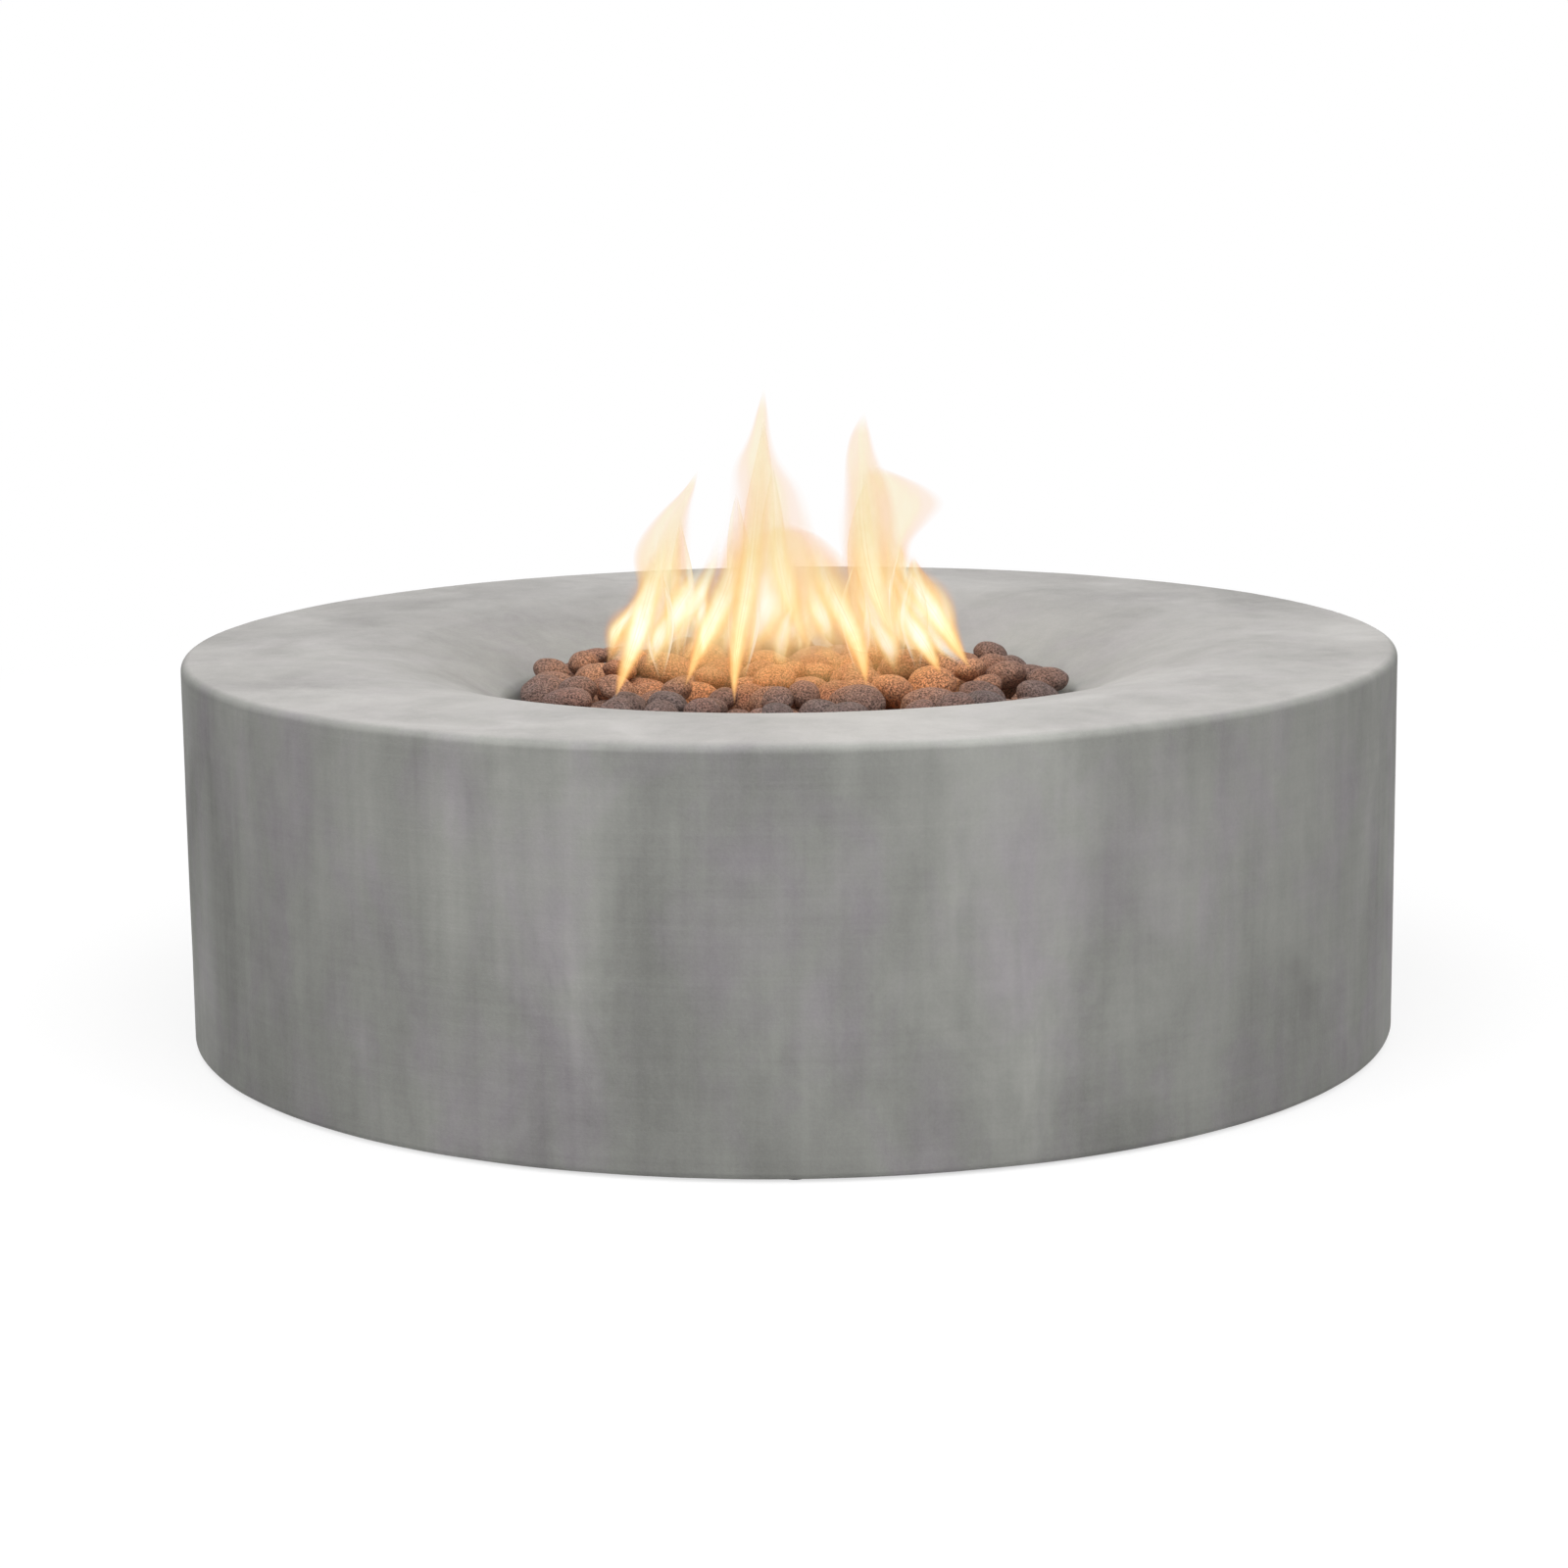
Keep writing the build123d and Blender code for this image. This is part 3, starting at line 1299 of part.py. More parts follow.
def raise_surface(stone, inverse, surface, xs, ys):
    """Add a laid stone to the height grid."""
    x, y, z = stone.centre
    cells = patch(stone, xs, x, y)
    _, above, covered = half_depths(inverse, xs[cells] - x, ys[cells] - y)
    surface[cells] = np.where(covered, np.maximum(surface[cells], z + above), surface[cells])


def lens(centre, width, depth, turn_deg):
    """Lens outline on a level plane: two arcs that meet at its two edges."""
    place = Plane(origin=centre, z_dir=(0, 0, 1)) * Rot(0, 0, turn_deg)
    half = width / 2
    front = ThreePointArc((-half, 0), (0, -depth / 2), (half, 0))
    back = ThreePointArc((half, 0), (0, depth / 2), (-half, 0))
    return place * make_face([front, back])


def make_flames():
    """Tongues of fire that rise from the ring between the stones."""
    foot_z = ring_z + RING_TUBE_R + FIT
    tongues = []
    for row in FLAME_TONGUE_SHARES:
        across, deep, height, wide, lean_x, lean_y, sway, turn = row
        foot_x = across * RING_R
        foot_y = deep * RING_R
        tall = height * FLAME_H
        width = wide * FLAME_W
        sections = []
        for up, breadth in FLAME_SECTION_SHARES:
            bend = math.sin(2 * math.pi * up) * sway * width
            centre = (
                foot_x + lean_x * RING_R * up + bend,
                foot_y + lean_y * RING_R * up,
                foot_z + up * tall,
            )
            span = breadth * width
            sections.append(lens(centre, span, span * FLAME_DEPTH_SHARE, turn))
        tip = Vertex(foot_x + lean_x * RING_R, foot_y + lean_y * RING_R, foot_z + tall)
        tongues.append(loft(sections + [tip]))
    return tongues


def main():
    """Build every piece and write one file for each."""
    stones = lay_stones()
    upper = [stone.solid() for stone in stones if not stone.on_bed]
    lower = [stone.solid() for stone in stones if stone.on_bed]
    left, right = VENT_ANGLES_DEG[1], VENT_ANGLES_DEG[0]
    pieces = {
        "concrete_shell": make_shell(),
        "foot_pads": make_pads(),
        "vent_grille_left": make_vent(left),
        "vent_grille_right": make_vent(right),
        "vent_screws": make_vent_screws(),
        "control_plate": make_control_plate(),
        "plate_screws": make_plate_screws(),
        "plate_inserts": make_plate_inserts(),
        "gas_valve": make_valve(),
        "valve_screws": make_valve_screws(),
        "valve_plunger": make_plunger(),
        "plunger_spring": make_plunger_spring(),
        "valve_stem": make_stem(),
        "control_knob": make_knob(),
        "igniter_body": make_igniter_body(),
        "igniter_nut": make_igniter_nut(),
        "igniter_button": make_igniter_button(),
        "igniter_battery": make_battery(),
        "igniter_spring": make_igniter_spring(),
        "gas_inlet": make_gas_inlet(),
        "inlet_locknut": make_inlet_locknut(),
        "inlet_pipe": make_inlet_pipe(),
        "pipe_nuts": make_pipe_nuts(),
        "pan_gasket": make_gasket(),
        "burner_pan": make_pan(),
        "ring_burner": make_burner(),
        "burner_nipple": make_nipple(),
        "burner_washer": make_washer(),
        "burner_locknut": make_locknut(),
        "air_mixer": make_mixer(),
        "gas_orifice": make_orifice(),
        "burner_elbow": make_burner_elbow(),
        "burner_hose": make_hose(),
        "hose_nuts": make_hose_nuts(),
        "spark_electrode": make_spark(),
        "electrode_insulator": make_insulator(),
        "ignition_lead": make_ignition_lead(),
        "thermocouple": make_thermocouple(),
        "thermocouple_nut": make_probe_nut(),
        "pilot_bracket": make_bracket(),
        "pilot_hood": make_hood(),
        "pilot_screws": make_pilot_screws(),
        "lava_gravel": make_gravel(),
        "lower_lava_stones": lower,
        "upper_lava_stones": upper,
        "flames": make_flames(),
    }
    os.makedirs("parts", exist_ok=True)
    for name, piece in pieces.items():
        if isinstance(piece, list):
            solids = [solid for item in piece for solid in item.solids()]
            piece = Compound(children=solids)
        export_step(piece, f"parts/{name}.step")
    print(len(stones), "stones")


main()
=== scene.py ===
import itertools
import json
import math
import random

import bmesh
import bpy
import numpy as np
from mathutils import Matrix, Vector


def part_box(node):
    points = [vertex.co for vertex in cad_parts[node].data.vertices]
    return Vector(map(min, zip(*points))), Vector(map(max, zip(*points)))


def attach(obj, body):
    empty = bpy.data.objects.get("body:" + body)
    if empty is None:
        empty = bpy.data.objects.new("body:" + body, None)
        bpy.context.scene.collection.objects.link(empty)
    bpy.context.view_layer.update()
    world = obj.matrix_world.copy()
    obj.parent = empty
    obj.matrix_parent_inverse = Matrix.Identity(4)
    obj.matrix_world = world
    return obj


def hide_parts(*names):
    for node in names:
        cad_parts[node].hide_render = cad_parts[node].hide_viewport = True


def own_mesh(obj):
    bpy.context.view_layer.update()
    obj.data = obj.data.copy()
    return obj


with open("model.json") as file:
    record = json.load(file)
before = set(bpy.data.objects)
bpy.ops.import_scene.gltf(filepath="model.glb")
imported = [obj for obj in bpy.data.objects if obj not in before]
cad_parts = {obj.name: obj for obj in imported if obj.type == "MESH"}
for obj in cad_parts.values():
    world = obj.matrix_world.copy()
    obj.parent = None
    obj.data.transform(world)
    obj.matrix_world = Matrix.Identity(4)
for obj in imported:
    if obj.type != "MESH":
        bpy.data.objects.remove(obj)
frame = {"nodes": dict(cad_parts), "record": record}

scene = bpy.context.scene
nodes = frame["nodes"]
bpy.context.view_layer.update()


# Smooth noise on points, repeatable from its seed.
CELL_PRIMES = (374761393, 668265263, 2147483647)
SEED_PRIME = 144269
MIX_PRIME = 1274126177
LOW_BITS = 0xFFFF
OCTAVE_SEED_STEP = 17


def lattice(cells, seed):
    """Value from 0 to 1 for each cell, given by whole numbers."""
    n = cells @ np.array(CELL_PRIMES) + seed * SEED_PRIME
    n = (n ^ (n >> 13)) * MIX_PRIME
    n = n ^ (n >> 16)
    return (n & LOW_BITS) / LOW_BITS


def smooth_noise(points, seed):
    base = np.floor(points).astype(np.int64)
    part = points - base
    part = part * part * (3 - 2 * part)
    total = np.zeros(len(points))
    for corner in itertools.product((0, 1), repeat=3):
        share = np.ones(len(points))
        for axis, step in enumerate(corner):
            share *= part[:, axis] if step else 1 - part[:, axis]
        total += share * lattice(base + np.array(corner), seed)
    return total


def cloud(points, seed, octaves=3):
    total = np.zeros(len(points))
    size = 0.0
    for octave in range(octaves):
        weight = 0.5**octave
        total += weight * smooth_noise(points * 2**octave, seed + octave * OCTAVE_SEED_STEP)
        size += weight
    return total / size


def ease(value, low, high):
    """Smooth step from 0 at the first limit to 1 at the second."""
    share = np.clip((value - low) / (high - low), 0, 1)
    return share * share * (3 - 2 * share)


# Shader nodes, added and joined in short steps.
MID_NOISE = (0.3, 0.7)
WIDE_NOISE = (0.28, 0.72)
MIX_SHARE, MIX_FIRST, MIX_SECOND, MIX_RESULT = 0, 6, 7, 2


class NodeTree:
    """Shader nodes of one material or of the world."""

    def __init__(self, owner):
        owner.use_nodes = True
        self.tree = owner.node_tree
        self.tree.nodes.clear()

    def add(self, kind, **props):
        node = self.tree.nodes.new(kind)
        for key, value in props.items():
            setattr(node, key, value)
        return node

    def join(self, source, target):
        self.tree.links.new(source, target)

    def feed(self, target, value):
        """Join a socket to another one, or set it to a plain value."""
        if isinstance(value, bpy.types.NodeSocket):
            self.join(value, target)
        else:
            target.default_value = value

    def place(self, stretch=(1, 1, 1), turn=(0, 0, 0), shift=(0, 0, 0)):
        coords = self.add("ShaderNodeTexCoord")
        mapping = self.add("ShaderNodeMapping")
        mapping.inputs["Location"].default_value = shift
        mapping.inputs["Scale"].default_value = stretch
        mapping.inputs["Rotation"].default_value = turn
        self.join(coords.outputs["Object"], mapping.inputs["Vector"])
        return mapping.outputs["Vector"]

    def length(self, vector):
        node = self.add("ShaderNodeVectorMath", operation="LENGTH")
        self.join(vector, node.inputs[0])
        return node.outputs["Value"]

    def span(self, value, low, high, to_low=0.0, to_high=1.0, how="LINEAR"):
        """Value moved from one range to another and kept inside it."""
        node = self.add("ShaderNodeMapRange", clamp=True, interpolation_type=how)
        self.feed(node.inputs["Value"], value)
        node.inputs["From Min"].default_value = low
        node.inputs["From Max"].default_value = high
        node.inputs["To Min"].default_value = to_low
        node.inputs["To Max"].default_value = to_high
        return node.outputs["Result"]

    def calc(self, a, b, how="ADD"):
        node = self.add("ShaderNodeMath", operation=how)
        self.feed(node.inputs[0], a)
        self.feed(node.inputs[1], b)
        return node.outputs[0]

    def blend(self, share, first, second):
        """Mix of two shaders."""
        node = self.add("ShaderNodeMixShader")
        for socket, source in zip(node.inputs, (share, first, second)):
            self.join(source, socket)
        return node.outputs[0]

    def show(self, kind, shader):
        self.join(shader, self.add(kind).inputs["Surface"])


class Look(NodeTree):
    """Material with one main shader."""

    def __init__(self, name):
        self.mat = bpy.data.materials.new(name)
        super().__init__(self.mat)
        self.shader = self.add("ShaderNodeBsdfPrincipled")
        self.show("ShaderNodeOutputMaterial", self.shader.outputs["BSDF"])

    def noise(self, where, scale, detail=4, rough=0.6, warp=0.0):
        node = self.add("ShaderNodeTexNoise")
        self.join(where, node.inputs["Vector"])
        node.inputs["Scale"].default_value = scale
        node.inputs["Detail"].default_value = detail
        node.inputs["Roughness"].default_value = rough
        node.inputs["Distortion"].default_value = warp
        return node.outputs["Fac"]

    def cells(self, where, scale):
        node = self.add("ShaderNodeTexVoronoi", feature="F1")
        self.join(where, node.inputs["Vector"])
        node.inputs["Scale"].default_value = scale
        return node.outputs["Distance"]

    def attribute(self, name):
        return self.add("ShaderNodeAttribute", attribute_name=name).outputs["Fac"]

    def upward(self):
        """How far the surface faces up, from -1 to 1."""
        split = self.add("ShaderNodeSeparateXYZ")
        self.join(self.add("ShaderNodeNewGeometry").outputs["Normal"], split.inputs[0])
        return split.outputs["Z"]

    def sway(self, noise, size):
        """Change of shade by up to the size, lighter where the noise is low."""
        return self.span(noise, *WIDE_NOISE, size, -size)

    def waver(self, noise, size):
        """Shift of an edge by up to the size, outwards where the noise is high."""
        return self.span(noise, *MID_NOISE, -size, size)

    def ramp(self, value, *stops):
        node = self.add("ShaderNodeValToRGB")
        elements = node.color_ramp.elements
        while len(elements) < len(stops):
            elements.new(0.5)
        for element, (spot, color) in zip(elements, stops):
            element.position = spot
            element.color = (*color, 1)
        self.join(value, node.inputs["Fac"])
        return node.outputs["Color"]

    def mix(self, share, first, second, how="MIX"):
        node = self.add("ShaderNodeMix", data_type="RGBA", blend_type=how)
        self.feed(node.inputs[MIX_SHARE], share)
        for index, value in ((MIX_FIRST, first), (MIX_SECOND, second)):
            if isinstance(value, tuple):
                value = (*value, 1)
            self.feed(node.inputs[index], value)
        return node.outputs[MIX_RESULT]

    def darken(self, color, shade):
        return self.mix(1.0, color, shade, "MULTIPLY")

    def bump(self, height, depth, strength, under=None):
        node = self.add("ShaderNodeBump")
        node.inputs["Strength"].default_value = strength
        node.inputs["Distance"].default_value = depth
        self.join(height, node.inputs["Height"])
        if under is not None:
            self.join(under, node.inputs["Normal"])
        return node.outputs["Normal"]

    def finish(self, color, rough, normal, metal=0.0):
        self.feed(self.shader.inputs["Base Color"], color)
        self.feed(self.shader.inputs["Roughness"], rough)
        self.feed(self.shader.inputs["Metallic"], metal)
        self.join(normal, self.shader.inputs["Normal"])
        return self.mat


# Concrete: layers of noise from broad clouds down to grain, painted highlights and painted shade with stains
# on the wall, a top painted lighter than the wall, and darkening near the bowl.
CONCRETE_GREEN = (0.346, 0.348, 0.325)
CONCRETE_VIOLET = (0.348, 0.330, 0.340)
# Colour of the top, painted lighter than the wall's: painted light on the upward faces.
CONCRETE_FLAT_PAINTED_LIGHT = (0.430, 0.414, 0.400)
CONCRETE_SMUDGE = (0.22, 0.215, 0.205)
# Where the darkening near the bowl ends, measured from the middle, and how dark it gets.
BOWL_DARKENING_EDGE = (0.25, 0.40)
BOWL_DARKENING_FACTOR = 0.89
LIGHT_PATCH_AND_STAIN_FADE = (1.05, 0.25)

# Broad patches on the wall: painted highlights from the front lamps high on its front, painted shade where it
# turns away at the sides, and small stains between them. Each gives where the middle lies, how far it reaches
# each way, and how much it lightens.
WALL_LIGHT_PATCHES_AND_STAINS = [
    ((-0.195, -0.497, 0.270), (0.105, 0.105, 0.180), 0.27),
    ((0.172, -0.505, 0.255), (0.090, 0.090, 0.210), 0.21),
    ((0.110, -0.520, 0.120), (0.110, 0.110, 0.100), 0.06),
    ((0.225, -0.485, 0.100), (0.085, 0.085, 0.130), 0.12),
    ((-0.250, -0.472, 0.090), (0.140, 0.140, 0.140), 0.09),
    ((-0.010, -0.530, 0.315), (0.150, 0.100, 0.070), -0.09),
    ((-0.115, -0.520, 0.060), (0.080, 0.080, 0.100), -0.08),
    ((0.000, -0.530, 0.110), (0.065, 0.065, 0.140), -0.10),
    ((0.380, -0.375, 0.110), (0.110, 0.110, 0.130), -0.05),
    ((0.495, -0.200, 0.230), (0.130, 0.150, 0.280), -0.13),
    ((-0.515, -0.140, 0.270), (0.090, 0.150, 0.170), -0.13),
]


def light_patch_and_stain_shade(look, middle, reach, lighter, ragged):
    """Shade that one patch of the table adds, fading to nothing at its ragged edge; the table holds painted
    highlights, painted shade and stains.
    """
    stretch = tuple(1 / r for r in reach)
    shift = tuple(-m / r for m, r in zip(middle, reach))
    edge = look.calc(look.length(look.place(stretch, shift=shift)), ragged)
    return look.span(edge, *LIGHT_PATCH_AND_STAIN_FADE, 0.0, lighter, "SMOOTHSTEP")


def concrete_look():
    look = Look("concrete_cast")
    broad = look.noise(look.place((1, 1, 0.7)), scale=3.1, detail=3, rough=0.5, warp=0.5)
    blotch = look.noise(look.place((1, 1, 0.6), turn=(0.2, 0.1, 0.4)), scale=9, warp=0.6)
    streak = look.noise(look.place((1, 1, 0.10)), scale=15, warp=0.2)
    wisp = look.noise(look.place((1, 1, 0.05)), scale=70, detail=3)
    patch = look.noise(look.place((1, 1, 0.8), turn=(0.7, 0.2, 0.3)), scale=38, rough=0.65, warp=0.5)
    trowel = look.noise(look.place((1.2, 1.2, 60)), scale=2.2, detail=3)
    tint = look.noise(look.place((1, 1, 0.6), turn=(0.5, 0.3, 0.1)), scale=14, rough=0.62, warp=0.4)
    grain = look.noise(look.place(), scale=420, detail=3, rough=0.7)
    smudge = look.noise(look.place(turn=(0.3, 0.5, 0.9)), scale=6.5, detail=3, rough=0.5)
    upward = look.upward()

    base = look.mix(look.span(tint, 0.46, 0.68), CONCRETE_GREEN, CONCRETE_VIOLET)
    # Upward faces take a lighter colour than the wall: painted light on the top.
    base = look.mix(look.span(upward, 0.74, 0.99, 0.0, 0.8), base, CONCRETE_FLAT_PAINTED_LIGHT)

    ragged = look.calc(look.waver(blotch, 0.22), look.waver(streak, 0.18))
    shade = look.calc(look.sway(streak, 0.10), look.sway(wisp, 0.05))
    # Painted highlights and painted shade on the wall, with a few stains among them.
    for middle, reach, lighter in WALL_LIGHT_PATCHES_AND_STAINS:
        shade = look.calc(shade, light_patch_and_stain_shade(look, middle, reach, lighter, ragged))
    shade = look.calc(shade, look.span(upward, 0.35, 0.95, 1.0, 0.25), "MULTIPLY")
    shade = look.calc(shade, look.span(broad, *MID_NOISE, 0.84, 1.16))
    for noise, size in ((blotch, 0.11), (patch, 0.06), (trowel, 0.03), (grain, 0.05)):
        shade = look.calc(shade, look.sway(noise, size))
    base = look.darken(base, shade)

    # Concrete darker within reach of the bowl.
    away = look.calc(look.length(look.place((1, 1, 0))), look.waver(blotch, 0.05))
    base = look.darken(base, look.span(away, *BOWL_DARKENING_EDGE, BOWL_DARKENING_FACTOR, 1.0))
    base = look.mix(look.span(smudge, 0.68, 0.78, 0.0, 0.35), base, CONCRETE_SMUDGE)
    rough = look.span(blotch, *MID_NOISE, 0.62, 0.82)
    normal = look.bump(trowel, depth=0.0006, strength=0.5)
    normal = look.bump(grain, depth=0.0004, strength=0.6, under=normal)
    return look.finish(base, rough, normal)


# Lava: tumbled stones with speckles and pits, the pits darkened with painted shade, rust-red with painted
# firelight where the fire lights them, and a fine bed under them with painted shade between its bits.
LAVA_TONES = ((0.0, (0.125, 0.087, 0.080)), (0.5, (0.19, 0.116, 0.096)), (1.0, (0.275, 0.142, 0.106)))
LAVA_DUST = (0.235, 0.180, 0.165)
# Rust-red tones, laid by nearness to the fire as painted firelight.
LAVA_RUST_AND_FIRELIGHT = ((0.0, (0.50, 0.195, 0.085)), (1.0, (0.72, 0.34, 0.155)))
# Gravel colour from the middle of a bit to its edge, darker at the edge: painted shade in the gaps.
GRAVEL_TONES_AND_GAP_SHADE = ((0.0, (0.12, 0.08, 0.065)), (0.6, (0.04, 0.03, 0.027)))
GRAVEL_DUST = (0.2, 0.14, 0.11)


def lava_look():
    look = Look("lava_tumbled")
    coarse = look.noise(look.place(), scale=70, detail=3)
    fine = look.noise(look.place(), scale=560, detail=2)
    pits = look.cells(look.place(turn=(0.4, 0.7, 0.2)), scale=480)
    tone = look.attribute("tone")
    base = look.ramp(tone, *LAVA_TONES)
    base = look.mix(look.span(coarse, 0.42, 0.66, 0.0, 0.40), base, LAVA_DUST)
    # Painted firelight: rust-red on the stones near the fire.
    base = look.mix(look.attribute("painted_firelight"), base, look.ramp(tone, *LAVA_RUST_AND_FIRELIGHT))
    base = look.darken(base, look.span(fine, 0.36, 0.64, 0.42, 1.62))
    # Pits darker inside: painted shade in the recesses, which the bump also dents.
    pit_shade_and_depth = look.span(pits, 0.10, 0.34, 0.32, 1.0)
    base = look.darken(base, pit_shade_and_depth)
    normal = look.bump(pit_shade_and_depth, depth=0.0016, strength=0.9)
    normal = look.bump(fine, depth=0.0024, strength=0.8, under=normal)
    return look.finish(base, look.span(fine, *MID_NOISE, 0.8, 0.95), normal)


def gravel_look():
    look = Look("lava_gravel_bed")
    bits = look.cells(look.place(), scale=150)
    fine = look.noise(look.place(), scale=380, detail=3, rough=0.7)
    # Painted shade: each bit darkens towards the gaps round it.
    base = look.ramp(bits, *GRAVEL_TONES_AND_GAP_SHADE)
    base = look.mix(look.span(fine, 0.5, 0.75, 0.0, 0.4), base, GRAVEL_DUST)
    return look.finish(base, 0.92, look.bump(bits, depth=0.006, strength=1.0))


# Fire: colour from glow, see-through from veil and strength from power, each held by the points of the mesh.
FIRE_COLOURS = (
    (0.0, (1.0, 0.36, 0.10)),
    (0.35, (1.0, 0.60, 0.22)),
    (0.65, (1.0, 0.83, 0.44)),
    (1.0, (1.0, 0.96, 0.82)),
)


def flame_look():
    look = Look("burning_gas")
    lick = look.noise(look.place((1, 1, 0.22)), scale=55, detail=3, warp=0.4)
    heat = look.calc(look.attribute("glow"), look.waver(lick, 0.16))
    veil = look.calc(look.attribute("veil"), look.span(lick, 0.25, 0.7, 0.72, 1.12), "MULTIPLY")
    shader = look.shader
    shader.inputs["Base Color"].default_value = (0, 0, 0, 1)
    shader.inputs["Roughness"].default_value = 1.0
    shader.inputs["Specular IOR Level"].default_value = 0.0
    look.join(look.ramp(heat, *FIRE_COLOURS), shader.inputs["Emission Color"])
    look.join(look.attribute("power"), shader.inputs["Emission Strength"])
    look.join(veil, shader.inputs["Alpha"])
    return look.mat


# Metals and plain materials: name, dark colour, light colour, least and most roughness.
METALS = {
    "zinc_steel": ("steel_plated", (0.5, 0.5, 0.48), (0.66, 0.66, 0.64), 0.25, 0.4),
    "brass": ("brass_machined", (0.55, 0.38, 0.14), (0.72, 0.53, 0.24), 0.22, 0.38),
    "valve_alloy": ("alloy_cast", (0.45, 0.45, 0.44), (0.6, 0.6, 0.59), 0.4, 0.6),
    "button_steel": ("button_polished", (0.6, 0.6, 0.6), (0.75, 0.75, 0.75), 0.12, 0.22),
    "probe_copper": ("copper_drawn", (0.55, 0.28, 0.16), (0.72, 0.42, 0.27), 0.25, 0.4),
}
BRUSHED = ("steel_brushed", (0.42, 0.41, 0.40), (0.58, 0.57, 0.55), 0.28, 0.42)
COATED = ("vent_coated", (0.16, 0.16, 0.158), (0.22, 0.22, 0.218), 0.45, 0.6)
PLAINS = {
    "pad_rubber": ("rubber_pad", (0.02, 0.02, 0.02), (0.045, 0.045, 0.045), 0.7, 0.9),
    "knob_black": ("knob_moulded", (0.014, 0.014, 0.015), (0.03, 0.03, 0.032), 0.38, 0.55),
    "igniter_black": ("igniter_moulded", (0.016, 0.016, 0.017), (0.034, 0.034, 0.035), 0.4, 0.6),
    "battery_case": ("battery_sleeve", (0.10, 0.11, 0.12), (0.16, 0.17, 0.18), 0.3, 0.45),
    "hose_rubber": ("hose_rubber", (0.016, 0.016, 0.017), (0.035, 0.035, 0.036), 0.55, 0.75),
    "lead_silicone": ("lead_silicone", (0.30, 0.04, 0.025), (0.42, 0.07, 0.045), 0.45, 0.6),
    "ceramic_white": ("ceramic_sleeve", (0.7, 0.68, 0.64), (0.8, 0.78, 0.74), 0.35, 0.5),
    "gasket_fibre": ("fibre_gasket", (0.6, 0.59, 0.56), (0.74, 0.73, 0.7), 0.85, 0.95),
}
METAL_SHADOW = 0.8


def metal_look(name, dark, light, low, high, stretch=(1, 1, 1), scale=90, metal=1.0):
    look = Look(name)
    brush = look.noise(look.place(stretch), scale)
    cloudy = look.noise(look.place(), scale=14, detail=3)
    base = look.ramp(brush, (MID_NOISE[0], dark), (MID_NOISE[1], light))
    shadow = tuple(METAL_SHADOW * c for c in dark)
    base = look.mix(look.span(cloudy, 0.5, 0.8, 0.0, 0.3), base, shadow)
    rough = look.span(brush, *MID_NOISE, low, high)
    return look.finish(base, rough, look.bump(brush, depth=0.0002, strength=0.4), metal)


def plain_look(name, dark, light, low, high):
    look = Look(name)
    mottle = look.noise(look.place(), scale=60)
    grain = look.noise(look.place(), scale=540, detail=2)
    base = look.ramp(mottle, (MID_NOISE[0], dark), (MID_NOISE[1], light))
    rough = look.span(mottle, *MID_NOISE, low, high)
    return look.finish(base, rough, look.bump(grain, depth=0.0003, strength=0.5))


looks = {
    "concrete": concrete_look(),
    "lava_stone": lava_look(),
    "lava_gravel": gravel_look(),
    "flame": flame_look(),
    "stainless": metal_look(*BRUSHED, stretch=(1, 1, 40), scale=30),
    "vent_steel": metal_look(*COATED, metal=0.0),
}
looks.update({slot: metal_look(*row) for slot, row in METALS.items()})
looks.update({slot: plain_look(*row) for slot, row in PLAINS.items()})

for part in frame["record"]["subparts"]:
    mesh = nodes[part["node"]].data
    mesh.materials.clear()
    mesh.materials.append(looks[part["material_slot"]])
    even = nodes[part["node"]].modifiers.new("even_shading", "WEIGHTED_NORMAL")
    even.keep_sharp = True


# Pieces of the scene, and the separate solids of a node.
def add_piece(name, verts, faces, slot):
    mesh = bpy.data.meshes.new(name)
    mesh.from_pydata([tuple(v) for v in verts], [], [tuple(f) for f in faces])
    mesh.validate()
    mesh.polygons.foreach_set("use_smooth", [True] * len(mesh.polygons))
    mesh.materials.append(looks[slot])
    piece = bpy.data.objects.new(name, mesh)
    scene.collection.objects.link(piece)
    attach(piece, "fire_pit")
    return piece


def add_value(piece, name, values):
    layer = piece.data.attributes.new(name, "FLOAT", "POINT")
    layer.data.foreach_set("value", np.concatenate(values).astype(np.float32))


def islands(mesh):
    """Points of each separate solid in a mesh."""
    points = np.zeros(len(mesh.vertices) * 3)
    mesh.vertices.foreach_get("co", points)
    points = points.reshape(-1, 3)
    _, same = np.unique(np.round(points, 6), axis=0, return_inverse=True)
    same = same.ravel()
    edges = np.zeros(len(mesh.edges) * 2, dtype=np.int64)
    mesh.edges.foreach_get("vertices", edges)
    edges = same[edges.reshape(-1, 2)]
    label = np.arange(same.max() + 1)
    while True:
        low = np.minimum(label[edges[:, 0]], label[edges[:, 1]])
        fresh = label.copy()
        np.minimum.at(fresh, edges[:, 0], low)
        np.minimum.at(fresh, edges[:, 1], low)
        fresh = fresh[fresh]
        if np.array_equal(fresh, label):
            break
        label = fresh
    group = label[same]
    return [points[group == g] for g in np.unique(group)]


